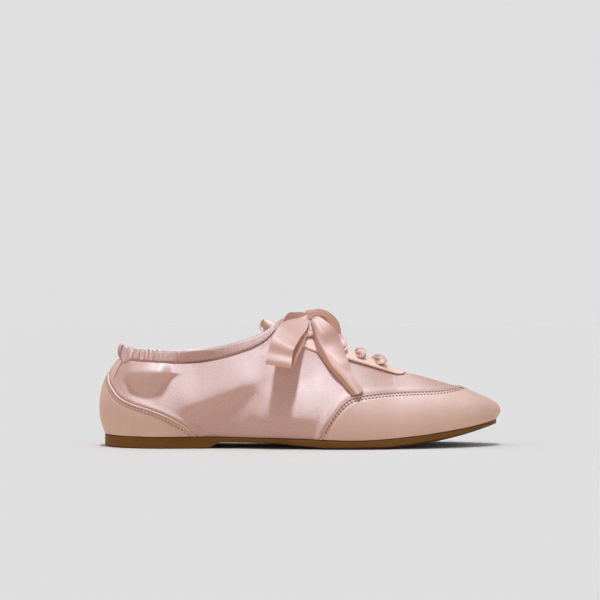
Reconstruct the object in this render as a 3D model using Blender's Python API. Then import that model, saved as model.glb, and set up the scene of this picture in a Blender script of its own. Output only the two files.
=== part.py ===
"""Ballet sneaker: the right shoe of a pair, on its own, standing on its outsole.

Frame: +X runs from heel to toe, -Y is the outer (lateral) side, +Z is up, and the
origin lies on the floor under the middle of the shoe. Tables and sizes are in
millimetres; meshes are made in metres.
"""
import math

import bmesh
import bpy
import numpy as np

MM = 0.001
LATERAL, MEDIAL = -1, 1

# ---------------------------------------------------------------- driving sizes
WALL = 1.6  # satin, foam and lining of the upper
GAP = 0.3  # between two pieces that touch
SEAT_GAP = 0.4  # between the sole and what stands on it
OVERLAY = 1.0  # toe cap, heel counter, eyestay and heel tape
SOLE_LIP = 1.4  # how far the sole stands out past the feather edge
INSOLE_THICK = 3.0
TONGUE_THICK = 1.8
COLLAR_TALL = 7.2  # folded satin tube round the collar, with elastic inside
COLLAR_THICK = 3.4
GATHER_TALL, GATHER_THICK = 0.6, 3.0  # what its elastic's bunch behind the heel adds
GATHER_IN, GATHER_UPRIGHT = 0.9, 3.0  # how far that bunch leans in from the wall, and how upright it is
GATHER_ENDS = 0.035, 0.08  # stations between which it fades into the plain tube
RUFFLE = 0.7  # how much its pleats rise and fall
COLLAR_THIN, COLLAR_THIN_FROM = 1.0, 0.08  # what the tube loses towards the throat, and how far before it
COLLAR_SIDES, COLLAR_SQUARE = 10, 0.7
RIBBON_THICK = 0.9
LACE_THICK = 2.2  # the same ribbon, gathered to pass an eyelet
EYELET_FLANGE, EYELET_BARREL, EYELET_HOLE = 2.9, 1.8, 1.3  # radii
EYELET_THICK = 0.7
EYELET_SIDES = 8
EYESTAY_WIDE = 11.5
THROAT_TOP = -11.0  # x of the throat's upper corners, where the collar ends
THROAT_END = 58.0  # x where the two sides of the throat meet
EYESTAY_END = 66.5  # x of the eyestay's rounded front end
CAP_RIDGE_X = 103.0  # x where the toe cap's seam crosses the ridge
EYELET_X = (49.0, 37.0, 24.5, 12.0, -1.0)  # each pair, along the throat's edge
EYELET_INSET = 5.0  # from the throat's edge to the middle of a hole

# One row for each section of the last, from the back of the heel to the tip of the
# toe. The feather edge is the line where upper and sole meet: its x, the middle of
# its two sides, half its width and its height. The top line is the collar, then the
# throat, then the ridge of the vamp. Low and high are the handles of the curve that
# joins the two: how far it first leaves each end outwards, and up or down.
LAST_COLUMNS = (
    "x", "mid", "half", "z",
    "top_x", "top_mid", "top_half", "top_z",
    "low_out", "low_up", "high_out", "high_down",
)
LAST = (
    (-122.6, 0.8, 0.0, 8.0, -114.5, 0.8, 0.0, 55.4, 7.5, 17.0, 11.0, 12.0),
    (-116.5, 0.5, 15.5, 7.8, -110.0, 0.5, 10.5, 54.8, 7.0, 17.0, 9.5, 13.0),
    (-97.0, -0.2, 26.4, 7.4, -94.0, -0.4, 21.0, 53.2, 6.0, 18.0, 6.0, 16.0),
    (-62.0, -1.2, 25.2, 7.5, -62.0, -1.2, 24.8, 53.4, 5.5, 18.0, 3.5, 17.0),
    (-32.0, -4.2, 24.4, 7.0, -36.0, -3.2, 24.3, 59.6, 6.5, 20.0, 5.0, 18.0),
    (-14.0, -5.0, 26.8, 6.8, -20.0, -2.7, 19.0, 68.0, 6.5, 21.0, 9.0, 16.0),
    (-2.0, -5.0, 29.2, 6.6, -11.0, -2.2, 12.0, 75.2, 6.0, 22.0, 12.0, 13.0),
    (12.0, -4.0, 32.6, 6.2, 6.0, -1.8, 8.8, 69.4, 5.0, 22.0, 14.0, 10.5),
    (30.0, -1.8, 36.6, 5.7, 27.0, -0.9, 6.8, 61.8, 4.0, 22.0, 15.5, 9.0),
    (45.0, 0.4, 37.6, 6.0, 43.0, 0.2, 4.8, 55.8, 4.0, 20.0, 16.5, 6.5),
    (62.0, 2.2, 36.0, 7.2, 58.0, 1.4, 0.0, 49.4, 3.5, 19.0, 17.5, 3.0),
    (80.0, 3.8, 32.6, 9.1, 72.0, 2.5, 0.0, 45.4, 3.5, 17.0, 18.5, 1.0),
    (98.0, 5.2, 26.4, 11.7, 86.0, 3.7, 0.0, 41.6, 4.0, 14.0, 17.0, 0.0),
    (114.0, 6.2, 17.0, 14.6, 98.0, 4.6, 0.0, 37.9, 5.0, 10.5, 15.5, 0.0),
    (124.0, 6.8, 0.0, 17.0, 107.4, 5.2, 0.0, 34.1, 7.4, 8.2, 15.4, 0.0),
)
# Columns that change sign from one side of the shoe to the other, at each end.
CROSSING_AT_HEEL = ("half", "top_half")
CROSSING_AT_TOE = ("half",)

# Seams as they run along the side of the shoe, x and z.
TOE_CAP_SEAM = (
    (12.0, 4.0), (14.3, 10.8), (17.3, 16.5), (23.0, 24.6), (30.4, 31.0), (38.5, 33.2),
    (50.0, 34.3), (62.6, 34.8), (75.0, 35.1), (87.6, 35.3), (97.5, 36.2), (CAP_RIDGE_X, 36.9),
    (112.0, 40.0),
)
COUNTER_SEAM = (
    (-132.0, 49.0), (-121.5, 48.0), (-119.8, 41.5), (-117.0, 36.6), (-113.5, 32.5),
    (-109.0, 29.7), (-103.0, 27.4), (-94.7, 24.9), (-86.4, 21.9), (-78.9, 18.4),
    (-72.2, 14.4), (-67.2, 10.4), (-62.7, 6.0),
)

# The tongue's free end: how far each row lies back from the throat's corners, how far
# above them, and its share of the tongue's width.
TONGUE_TOP = ((-4.5, 2.8, 0.9), (-9.0, 4.9, 0.8), (-12.0, 5.9, 0.6), (-13.6, 6.4, 0.3))
TONGUE_CROWN = 1.2
TONGUE_SWELL, TONGUE_EDGE = 3.4, 0.6  # how much thicker its padded top is, less at its sides

LACE_RISE = 2.6, 5.2  # how far the front and the last bars stand up over the throat
LACE_FLAT = 0.3  # how soon a bar reaches its height; smaller is sooner
LACE_PUFF = 5.0  # thickness of a bar where the gathered ribbon puffs out
LACE_RINGS, LACE_SIDES = 11, 8

# The bow. Each row is a point of the ribbon's middle line, its width there, and the
# direction of its width. The loop leaves the knot, folds at its foot and comes back.
KNOT_AT = (6.5, -2.2, 80.0)
KNOT_SIZE = (8.0, 8.0, 8.0)
LOOP_RINGS, TAIL_RINGS = 36, 22
BOW_LOOP = (
    (3.4, -7.2, 80.4, 7.0, -0.4, 0.2, 0.9),
    (1.5, -13.5, 80.0, 9.5, -0.5, 0.2, 0.85),
    (-1.5, -21.0, 76.6, 12.0, -0.6, 0.2, 0.8),
    (-7.0, -28.5, 71.5, 15.0, -0.8, 0.2, 0.6),
    (-11.5, -35.2, 65.0, 16.0, -0.95, 0.1, 0.3),
    (-13.2, -40.6, 58.5, 16.0, -1.0, 0.0, 0.12),
    (-13.0, -42.8, 53.8, 16.0, -0.98, 0.0, 0.19),
    (-11.6, -41.2, 52.0, 16.0, -0.98, 0.0, 0.19),
    (-9.0, -37.8, 54.5, 16.0, -0.98, 0.0, 0.2),
    (-5.0, -32.8, 61.5, 15.5, -0.97, 0.0, 0.25),
    (-0.8, -26.5, 70.0, 12.5, -0.95, 0.1, 0.3),
    (2.4, -17.5, 76.6, 9.0, -0.9, 0.2, 0.4),
    (4.6, -10.0, 78.9, 6.0, -0.9, 0.2, 0.4),
    (5.0, -7.2, 79.0, 5.0, -0.9, 0.2, 0.4),
)
BOW_TAIL = (
    (9.6, -6.5, 79.6, 5.5, 0.6, 0.0, 0.8),
    (10.8, -13.5, 77.4, 8.5, 0.7, 0.1, 0.7),
    (13.2, -22.0, 71.0, 13.5, 0.85, 0.2, 0.5),
    (18.8, -30.0, 61.4, 16.0, 0.8, 0.3, 0.5),
    (23.7, -35.0, 52.8, 16.0, 0.6, 0.6, 0.5),
    (29.2, -38.5, 45.6, 15.0, 0.5, 0.8, 0.45),
    (33.0, -40.4, 39.5, 15.0, 0.45, 0.85, 0.4),
    (36.0, -42.0, 34.6, 15.0, 0.45, 0.85, 0.4),
)
BOW_FAR_LOOP = (
    (3.8, -6.7, 81.2, 7.0, -0.4, 0.2, 0.9),
    (0.6, -13.5, 82.2, 9.5, -0.5, 0.2, 0.85),
    (-3.2, -21.0, 79.4, 12.0, -0.6, 0.2, 0.8),
    (-8.2, -28.5, 73.6, 15.0, -0.8, 0.2, 0.6),
    *BOW_LOOP[4:],
)
BOW_FAR_TAIL = (
    (7.3, -5.6, 82.6, 6.5, 0.7, 0.3, 0.3),
    (9.6, -11.5, 84.2, 10.5, 0.85, 0.3, 0.2),
    (13.2, -17.0, 82.2, 14.5, 0.85, 0.3, 0.3),
    (17.2, -23.0, 76.4, 16.0, 0.85, 0.3, 0.5),
    (20.5, -29.0, 68.4, 16.0, 0.85, 0.3, 0.5),
    (24.5, -34.5, 58.0, 16.0, 0.85, 0.35, 0.45),
    (29.0, -39.0, 48.0, 16.0, 0.85, 0.35, 0.45),
    (33.5, -42.5, 39.0, 16.0, 0.85, 0.35, 0.45),
)

# The tread, from heel to toe: x, height of the underside, how far its edge is rolled
# up above that, and how far inwards the roll reaches.
TREAD = (
    (-124.0, 0.0, 0.7, 2.0), (-61.0, 0.0, 0.7, 2.0), (-57.0, 0.15, 0.7, 2.0),
    (-50.0, 3.7, 0.5, 2.0), (-45.0, 3.9, 0.5, 3.0), (-22.0, 3.4, 0.7, 4.0),
    (2.0, 1.3, 1.2, 6.0), (18.0, 0.0, 1.7, 7.0), (50.0, 0.0, 2.2, 7.0),
    (66.0, 1.3, 2.3, 7.0), (84.0, 4.0, 2.0, 6.0), (102.0, 7.7, 1.4, 5.0),
    (116.0, 11.4, 1.0, 4.0), (124.0, 13.4, 0.6, 3.0),
)

# ---------------------------------------------------------------- colours
SATIN_PINK = (0.76, 0.55, 0.53)
PEACH_LEATHER = (0.78, 0.56, 0.44)
RIBBON_PINK = (0.82, 0.60, 0.55)
LINING_BLUSH = (0.80, 0.64, 0.56)
GUM_RUBBER = (0.26, 0.14, 0.045)
ROSE_METAL = (0.72, 0.50, 0.38)


def material(name, colour, roughness, metallic=0.0):
    made = bpy.data.materials.new(name)
    made.use_nodes = True
    shader = made.node_tree.nodes["Principled BSDF"]
    shader.inputs["Base Color"].default_value = (*colour, 1.0)
    shader.inputs["Roughness"].default_value = roughness
    shader.inputs["Metallic"].default_value = metallic
    made.diffuse_color = (*colour, 1.0)
    return made


# ---------------------------------------------------------------- curves
def spline(knots, values):
    """A natural cubic spline through the values, as a function of an array."""
    knots, values = np.asarray(knots, float), np.asarray(values, float)
    gaps = np.diff(knots)
    slopes = np.diff(values) / gaps
    count = len(knots)
    matrix, right = np.eye(count), np.zeros(count)
    for i in range(1, count - 1):
        matrix[i, i - 1 : i + 2] = gaps[i - 1], 2 * (gaps[i - 1] + gaps[i]), gaps[i]
        right[i] = 6 * (slopes[i] - slopes[i - 1])
    bends = np.linalg.solve(matrix, right)

    def at(where):
        where = np.asarray(where, float)
        i = np.clip(np.searchsorted(knots, where) - 1, 0, count - 2)
        left, ahead, gap = where - knots[i], knots[i + 1] - where, gaps[i]
        return (
            (bends[i] * ahead**3 + bends[i + 1] * left**3) / (6 * gap)
            + (values[i] / gap - bends[i] * gap / 6) * ahead
            + (values[i + 1] / gap - bends[i + 1] * gap / 6) * left
        )

    return at


def monotone(knots, values):
    """A smooth curve through the values that never swings past them, so flats stay flat."""
    knots, values = np.asarray(knots, float), np.asarray(values, float)
    slopes = np.diff(values) / np.diff(knots)
    before, after = slopes[:-1], slopes[1:]
    inner = np.where(before * after > 0, 2 * before * after / (before + after + 1e-12), 0.0)
    ends = np.concatenate([slopes[:1], inner, slopes[-1:]])

    def at(where):
        where = np.clip(where, knots[0], knots[-1])
        i = np.clip(np.searchsorted(knots, where, side="right") - 1, 0, len(knots) - 2)
        gap = knots[i + 1] - knots[i]
        t = (where - knots[i]) / gap
        return (
            (2 * t**3 - 3 * t**2 + 1) * values[i] + (t**3 - 2 * t**2 + t) * gap * ends[i]
            + (3 * t**2 - 2 * t**3) * values[i + 1] + (t**3 - t**2) * gap * ends[i + 1]
        )

    return at


def smooth_line(rows, count=300):
    """Points along a smooth curve through rows of coordinates, evenly spread by chord."""
    rows = np.asarray(rows, float)
    along = np.concatenate([[0], np.cumsum(np.linalg.norm(np.diff(rows, axis=0), axis=1))])
    even = np.linspace(0, along[-1], count)
    return np.stack([spline(along, rows[:, k])(even) for k in range(rows.shape[1])], axis=1)


def smoothstep(value, low, high):
    share = np.clip((np.asarray(value, float) - low) / (high - low), 0, 1)
    return share * share * (3 - 2 * share)


def last_columns():
    """Each column of the last's table as a smooth function of s, 0 at the heel and 1 at
    the toe. The table is repeated past each end, mirrored, so that both ends are round."""
    rows = np.array(LAST)
    x, half = rows[:, 0], rows[:, 2]
    along = np.concatenate([[0], np.cumsum(np.hypot(np.diff(x), np.diff(half)))])
    along /= along[-1]
    before, after = -along[4:0:-1], 2 - along[-2:-6:-1]
    functions = {}
    for column, name in enumerate(LAST_COLUMNS):
        values = rows[:, column]
        at_heel = -1 if name in CROSSING_AT_HEEL else 1
        at_toe = -1 if name in CROSSING_AT_TOE else 1
        functions[name] = spline(
            np.concatenate([before, along, after]),
            np.concatenate([at_heel * values[4:0:-1], values, at_toe * values[-2:-6:-1]]),
        )
    return functions


COLUMN = last_columns()
S_OF_TOP_X = np.linspace(0, 1, 2001)
TOP_X_OF_S = COLUMN["top_x"](S_OF_TOP_X)
FOOT_X_OF_S = COLUMN["x"](S_OF_TOP_X)


def station_of_top(x):
    """The s whose top line lies at x."""
    return np.interp(x, TOP_X_OF_S, S_OF_TOP_X)


def station_of_foot(x):
    """The s whose feather edge lies at x."""
    return np.interp(x, FOOT_X_OF_S, S_OF_TOP_X)


# ---------------------------------------------------------------- the last's surface
def foot_line(side, s):
    """Feather edge: points in plan and their outward normals."""
    step = 1e-4

    def plan(at):
        return np.stack([COLUMN["x"](at), COLUMN["mid"](at) + side * COLUMN["half"](at)], -1)

    run = plan(s + step) - plan(s - step)
    normal = side * np.stack([-run[..., 1], run[..., 0]], -1)
    return plan(s), normal / np.linalg.norm(normal, axis=-1, keepdims=True)


def top_line(side, s):
    """Collar, throat edge and ridge, in plan."""
    x = COLUMN["top_x"](s)
    half = np.where(x >= THROAT_END, 0.0, COLUMN["top_half"](s))
    return np.stack([x, COLUMN["top_mid"](s) + side * half], -1)


def base_wall(side, s, v):
    """The upper's outer face: s runs from heel to toe, v from the feather edge to the top."""
    s, v = np.broadcast_arrays(np.asarray(s, float), np.asarray(v, float))
    foot, outward = foot_line(side, s)
    top = top_line(side, s)
    radial = foot - top
    radial /= np.linalg.norm(radial, axis=-1, keepdims=True) + 1e-9
    share = smoothstep(top[..., :1], 0.0, THROAT_END)
    spread = (1 - share) * outward + share * radial
    spread /= np.linalg.norm(spread, axis=-1, keepdims=True)
    # Past the throat both sides leave the ridge in one plane, so that it stays round.
    before = np.clip(s, 0.02, 0.98)
    slope = (COLUMN["top_z"](before + 0.01) - COLUMN["top_z"](before - 0.01)) / (
        COLUMN["top_x"](before + 0.01) - COLUMN["top_x"](before - 0.01)
    )
    closed = smoothstep(top[..., 0], THROAT_END - 10, THROAT_END + 3)
    out = COLUMN["high_out"](s)
    high_z = COLUMN["top_z"](s) - COLUMN["high_down"](s) + closed * slope * spread[..., 0] * out

    def lifted(plan, z):
        return np.concatenate([plan, z[..., None]], -1)

    corners = (
        lifted(foot, COLUMN["z"](s)),
        lifted(foot + COLUMN["low_out"](s)[..., None] * outward, COLUMN["z"](s) + COLUMN["low_up"](s)),
        lifted(top + out[..., None] * spread, high_z),
        lifted(top, COLUMN["top_z"](s)),
    )
    v = v[..., None]
    weights = ((1 - v) ** 3, 3 * v * (1 - v) ** 2, 3 * v**2 * (1 - v), v**3)
    return sum(weight * corner for weight, corner in zip(weights, corners))


def wall_normal(side, s, v):
    """Outward unit normal of the upper's face."""
    step = 1e-3
    s, v = np.broadcast_arrays(np.asarray(s, float), np.minimum(v, 0.985))
    along = base_wall(side, s + step, v) - base_wall(side, s - step, v)
    up = base_wall(side, s, v + step) - base_wall(side, s, v - step)
    normal = side * np.cross(up, along)
    return normal / np.linalg.norm(normal, axis=-1, keepdims=True)


def wall(side, s, v, off=0.0):
    """A point of the upper's face, moved off it along its normal."""
    return base_wall(side, s, v) + np.asarray(off)[..., None] * wall_normal(side, s, v)


def middle_wall(s, v, off):
    """A point where both sides meet: at the back of the heel, the toe and the ridge."""
    return (wall(LATERAL, s, v, off) + wall(MEDIAL, s, v, off)) / 2


def v_below_top(side, s, distance):
    """The v that lies this far from the top line, measured down the wall."""
    samples = np.linspace(0, 1, 161)
    line = base_wall(side, s, samples)
    long = np.concatenate([[0], np.cumsum(np.linalg.norm(np.diff(line, axis=0), axis=1))])
    return float(np.interp(long[-1] - distance, long, samples))


def v_at_seam(side, s, seam):
    """The v where the wall first rises past the seam's side view, or 1."""
    samples = np.linspace(0, 1, 161)
    line = base_wall(side, s, samples)
    above = line[:, 2] - np.interp(line[:, 0], seam[:, 0], seam[:, 1])
    over = np.flatnonzero(above >= 0)
    if not len(over):
        return 1.0
    i = over[0]
    if i == 0:
        return 0.0
    share = -above[i - 1] / (above[i] - above[i - 1])
    v = float(samples[i - 1] + share * (samples[i] - samples[i - 1]))
    return 1.0 if v > 0.98 else v


# ---------------------------------------------------------------- mesh builders
def add_object(name, points, faces, finish, smooth_angle=50):
    """One closed mesh from points in millimetres, made in metres."""
    mesh = bpy.data.meshes.new(name)
    mesh.from_pydata([tuple(p) for p in np.asarray(points) * MM], [], [tuple(f) for f in faces])
    work = bmesh.new()
    work.from_mesh(mesh)
    bmesh.ops.remove_doubles(work, verts=work.verts, dist=1e-7)
    bmesh.ops.recalc_face_normals(work, faces=work.faces)
    if work.calc_volume(signed=True) < 0:
        bmesh.ops.reverse_faces(work, faces=work.faces)
    work.to_mesh(mesh)
    work.free()
    mesh.shade_smooth()
    mesh.set_sharp_from_angle(angle=math.radians(smooth_angle))
    mesh.materials.append(finish)
    made = bpy.data.objects.new(name, mesh)
    bpy.context.scene.collection.objects.link(made)
    return made


def shell(name, outer, inner, faces, finish):
    """A closed sheet between two faces that share their layout, with a rim at each free edge."""
    count = len(outer)
    edges = {(a, b) for face in faces for a, b in zip(face, face[1:] + face[:1])}
    rim = [(a, b) for a, b in edges if (b, a) not in edges]
    every = list(faces)
    every += [tuple(count + i for i in reversed(face)) for face in faces]
    every += [(b, a, count + a, count + b) for a, b in sorted(rim)]
    return add_object(name, np.concatenate([outer, inner]), every, finish)


def wall_shell(name, stations, span, offs, finish):
    """A closed solid between two offsets from the upper's face, on both sides of the
    shoe. span(side, s) gives the lowest and highest v at a station. All such pieces
    share the rows of the wall, so their facets lie parallel and the gap stays even."""
    places, faces = {}, []

    def corner(side, s, row):
        low, high = limits[side, s]
        v = round(float(np.clip(ROWS[row], low, high)), 6)
        on_ridge = v >= 1 and COLUMN["top_x"](s) >= THROAT_END - 1e-6
        shared = s <= 0 or s >= 1 or on_ridge
        return places.setdefault((0 if shared else side, s, v), len(places))

    limits = {(side, s): span(side, s) for side in (LATERAL, MEDIAL) for s in stations}
    for side in (LATERAL, MEDIAL):
        for s, after in zip(stations, stations[1:]):
            for row in range(len(ROWS) - 1):
                around = [
                    corner(side, s, row), corner(side, after, row),
                    corner(side, after, row + 1), corner(side, s, row + 1),
                ]
                face = tuple(i for n, i in enumerate(around) if i != around[n - 1])
                if len(set(face)) == len(face) >= 3:
                    faces.append(face if side == LATERAL else face[::-1])
    used = sorted({i for face in faces for i in face})
    order = {i: n for n, i in enumerate(used)}
    faces = [tuple(order[i] for i in face) for face in faces]
    keys = list(places)
    outer, inner = (
        np.array([
            wall(*keys[i], off) if keys[i][0] else middle_wall(*keys[i][1:], off) for i in used
        ])
        for off in offs
    )
    return shell(name, outer, inner, faces, finish)


def ring_solid(name, rings, finish, smooth_angle=50):
    """A tube through rings of points, with its two ends filled."""
    around, count = len(rings[0]), len(rings)
    faces = [tuple(range(around))[::-1], tuple((count - 1) * around + j for j in range(around))]
    for i in range(count - 1):
        for j in range(around):
            a, b, after = i * around, (i + 1) * around, (j + 1) % around
            faces.append((a + j, a + after, b + after, b + j))
    return add_object(name, np.concatenate(rings), faces, finish, smooth_angle)


def unit(vector):
    return vector / np.linalg.norm(vector, axis=-1, keepdims=True)


def wall_frame(side, s, v):
    """A point of the wall, the direction out of it and the direction up it."""
    up = base_wall(side, s, v) - base_wall(side, s, v - 1e-3)
    return base_wall(side, s, v), wall_normal(side, s, v), unit(up)


# Stations along the last and rows up its wall, shared by every piece that lies on it.
CAP_SEAM_S = float(np.interp(
    0.0, *np.array([
        (np.interp(COLUMN["top_x"](s), *np.array(TOE_CAP_SEAM).T) - COLUMN["top_z"](s), s)
        for s in np.linspace(station_of_top(92.0), station_of_top(105.0), 40)
    ]).T
))
STATIONS = np.unique(np.round(np.concatenate([
    [CAP_SEAM_S],
    np.linspace(0, 1, 32),
    station_of_foot(np.array([-78.0, -70.0, -66.0, -62.5, 12.0, 16.0, 19.5, 25.0, 31.0])),
    station_of_top(np.array([THROAT_TOP, THROAT_END, 61.0, 64.0, EYESTAY_END])),
]), 5))
ROWS = np.linspace(0, 1, 10)


# ---------------------------------------------------------------- sole
def make_outsole(finish):
    """Gum sole: a low heel, a raised arch, a flat tread under the ball and toe spring."""
    tread = np.array(TREAD)
    height, roll, inset = (monotone(tread[:, 0], tread[:, k]) for k in (1, 2, 3))
    stations = np.unique(np.concatenate([
        STATIONS[::2], STATIONS[-1:],
        station_of_foot(np.array([-61.0, -57.5, -54.0, -50.0, -45.0, 18.0, 50.0])),
    ]))

    def half_ring(side, s):
        """From the top edge down the side and under to the flat of the tread."""
        plan, outward = foot_line(side, s)
        x = plan[0]
        steps = ((0.0, None), (0.0, 1.0), (0.35, 0.3), (1.0, 0.0))
        points = []
        for inwards, rise in steps:
            at = plan + outward * (SOLE_LIP - inwards * inset(x))
            z = COLUMN["z"](s) - SEAT_GAP if rise is None else height(at[0]) + rise * roll(x)
            points.append((*at, z))
        return points

    rings = []
    for s in stations:
        outer, inner = half_ring(LATERAL, s), half_ring(MEDIAL, s)
        under = np.mean([outer[-1], inner[-1]], axis=0)
        under[2] = height(under[0])
        over = np.mean([outer[0], inner[0]], axis=0)
        rings.append(np.array([*outer, under, *inner[::-1], over]))
    return ring_solid("outsole", rings, finish, 35)


def make_insole(finish):
    """Padded sock that covers the sole inside the upper."""
    rings = []
    for s in STATIONS[::2]:
        z = COLUMN["z"](s)
        ring = []
        for side in (LATERAL, MEDIAL):
            plan, outward = foot_line(side, s)
            low = (*(plan - outward * (WALL + 0.6)), z)
            high = (*(plan - outward * (WALL + 0.9)), z + INSOLE_THICK)
            ring += [high, low] if side == LATERAL else [low, high]
        rings.append(np.array(ring))
    return ring_solid("insole", rings, finish)


# ---------------------------------------------------------------- upper
def make_upper(finish):
    """Quarters and vamp in one: a hollow wall, open at collar, throat and underneath."""
    return wall_shell("upper", STATIONS, lambda side, s: (0.0, 1.0), (0.0, -WALL), finish)


OVERLAY_OFFS = (GAP + OVERLAY, GAP)


def v_over_sole(side, s):
    """The v where an overlay's outer face is level with the feather edge."""
    samples = np.linspace(0, 0.3, 61)
    rise = wall(side, s, samples, OVERLAY_OFFS[0])[:, 2] - COLUMN["z"](s)
    return float(samples[np.argmax(rise >= 0)])


def make_toe_cap(finish):
    seam = smooth_line(TOE_CAP_SEAM)
    stations = STATIONS[STATIONS >= station_of_foot(TOE_CAP_SEAM[0][0]) - 1e-4]
    return wall_shell(
        "toe_cap", stations, lambda side, s: (v_over_sole(side, s), v_at_seam(side, s, seam)),
        OVERLAY_OFFS, finish,
    )


def make_heel_counter(finish):
    seam = smooth_line(COUNTER_SEAM)
    stations = STATIONS[STATIONS <= station_of_foot(COUNTER_SEAM[-1][0]) + 1e-4]
    return wall_shell(
        "heel_counter", stations, lambda side, s: (v_over_sole(side, s), v_at_seam(side, s, seam)),
        OVERLAY_OFFS, finish,
    )


def make_heel_tape(finish):
    """Strip that covers the back seam from the counter up to the collar."""
    seam = smooth_line(COUNTER_SEAM)
    stations = STATIONS[:3]
    return wall_shell(
        "heel_tape", stations,
        lambda side, s: (v_at_seam(side, s, seam) + 0.03, 0.97),
        OVERLAY_OFFS, finish,
    )


def make_eyestay(finish):
    """Facing round the throat: a U with a rounded front end."""
    stations = STATIONS[
        (STATIONS >= station_of_top(THROAT_TOP) - 1e-4)
        & (STATIONS <= station_of_top(EYESTAY_END) + 1e-4)
    ]

    def span(side, s):
        past = np.clip((COLUMN["top_x"](s) - THROAT_END) / (EYESTAY_END - THROAT_END), 0, 1)
        return v_below_top(side, s, EYESTAY_WIDE * math.sqrt(1 - past**2)), 1.0

    return wall_shell("eyestay", stations, span, OVERLAY_OFFS, finish)


def make_tongue(finish):
    """Padded flap under the throat, whose rounded top stands up behind it."""
    rows = []
    for x in np.linspace(52.0, THROAT_TOP + 1, 9):
        s = station_of_top(x)
        reach = 4.0 + 4.0 * smoothstep(x, THROAT_TOP, 15.0)  # under each side of the throat
        row = []
        for side, distances in ((LATERAL, (reach, reach / 2, 0.0)), (MEDIAL, (0.0, reach / 2, reach))):
            for distance in distances:
                v = v_below_top(side, s, distance)
                row.append(wall(side, s, v, -(WALL + 3 * GAP)))
        middle = (row[2] + row[3]) / 2 + np.array([0.0, 0.0, TONGUE_CROWN])
        rows.append(np.array(row[:3] + [middle] + row[3:]))
    last = rows[-1]
    for back, rise, width in TONGUE_TOP:
        centre = last[3] + np.array([back, 0.0, rise])
        rows.append(centre + (last - last[3]) * np.array([1.0, width, 1.0]))
    top = np.array(rows)
    count, across = top.shape[:2]
    across_share = np.linspace(-1, 1, across)
    faces = []
    for i in range(count - 1):
        for j in range(across - 1):
            a = i * across + j
            faces.append((a, a + 1, a + across + 1, a + across))
    along = np.gradient(top, axis=0)
    over = np.gradient(top, axis=1)
    normal = unit(np.cross(over, along))
    normal *= np.sign(normal[..., 2:])
    outer = top.reshape(-1, 3)
    swell = TONGUE_SWELL * smoothstep(np.arange(count), count - len(TONGUE_TOP) - 2, count - 3)
    thick = TONGUE_THICK + swell[:, None, None] * (1 - TONGUE_EDGE * across_share[:, None] ** 2)
    inner = (top - normal * thick).reshape(-1, 3)
    return shell("tongue", outer, inner, faces, finish)


# ---------------------------------------------------------------- collar
def make_collar(finish):
    """Folded satin tube along the top line, gathered by its elastic behind the heel."""
    start = station_of_top(THROAT_TOP)
    even = np.unique(np.concatenate([STATIONS[(STATIONS <= start + 1e-4) & (STATIONS > 0.09)],
                                     np.linspace(0.012, 0.085, 8)]))[::-1]
    run = [(LATERAL, s) for s in even] + [(LATERAL, 0.0)] + [(MEDIAL, s) for s in even[::-1]]
    turns = np.linspace(0, 2 * math.pi, COLLAR_SIDES, endpoint=False)
    rings = []
    for n, (side, s) in enumerate(run):
        point, outward, up = wall_frame(side, s, 1.0)
        gathered = 1 - smoothstep(s, *GATHER_ENDS)
        ripple = RUFFLE * math.cos(n * math.pi) * gathered
        tall = COLLAR_TALL + GATHER_TALL * gathered + ripple
        thin = COLLAR_THIN * smoothstep(s, start - COLLAR_THIN_FROM, start)
        thick = COLLAR_THICK + GATHER_THICK * gathered + ripple - thin
        up = unit(up + gathered * np.array([0.0, 0.0, GATHER_UPRIGHT]))
        centre = point + up * (1.5 * GAP + tall / 2) - outward * (WALL / 2 + GATHER_IN * gathered)
        rings.append(np.array([
            centre
            + outward * (thick / 2) * np.sign(math.cos(t)) * abs(math.cos(t)) ** COLLAR_SQUARE
            + up * (tall / 2) * np.sign(math.sin(t)) * abs(math.sin(t)) ** COLLAR_SQUARE
            for t in turns
        ]))
    return ring_solid("collar_binding", rings, finish, 70)


# ---------------------------------------------------------------- lacing
def eyelet_frame(side, x):
    s = station_of_top(x)
    return wall_frame(side, s, v_below_top(side, s, EYELET_INSET))


def turned(point, axis, profile, sides):
    """Rings of a profile of radius and height, turned round an axis through a point."""
    across = unit(np.cross(axis, (1.0, 0.0, 0.0)))
    along = np.cross(axis, across)
    turns = np.linspace(0, 2 * math.pi, sides, endpoint=False)
    return [
        np.array([point + axis * z + radius * (across * math.cos(t) + along * math.sin(t)) for z, radius in profile])
        for t in turns
    ]


def make_eyelets(finish):
    """Flanged metal eyelets, each with its barrel through eyestay and wall."""
    seat = 2 * GAP + OVERLAY
    profile = (
        (-WALL - 0.1, EYELET_HOLE), (-WALL - 0.1, EYELET_BARREL), (seat, EYELET_BARREL),
        (seat, EYELET_FLANGE), (seat + EYELET_THICK, EYELET_FLANGE - 0.5),
        (seat + EYELET_THICK, EYELET_HOLE),
    )
    for side, word in ((LATERAL, "lateral"), (MEDIAL, "medial")):
        for number, x in enumerate(EYELET_X, 1):
            point, axis, _ = eyelet_frame(side, x)
            rings = turned(point, axis, profile, EYELET_SIDES)
            around, count = len(profile), len(profile) * EYELET_SIDES
            faces = [
                (i + j, i + (j + 1) % around, (i + around + (j + 1) % around) % count, (i + around + j) % count)
                for i in range(0, count, around) for j in range(around)
            ]
            add_object(f"eyelet_{word}_{number}", np.concatenate(rings), faces, finish, 30)


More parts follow.
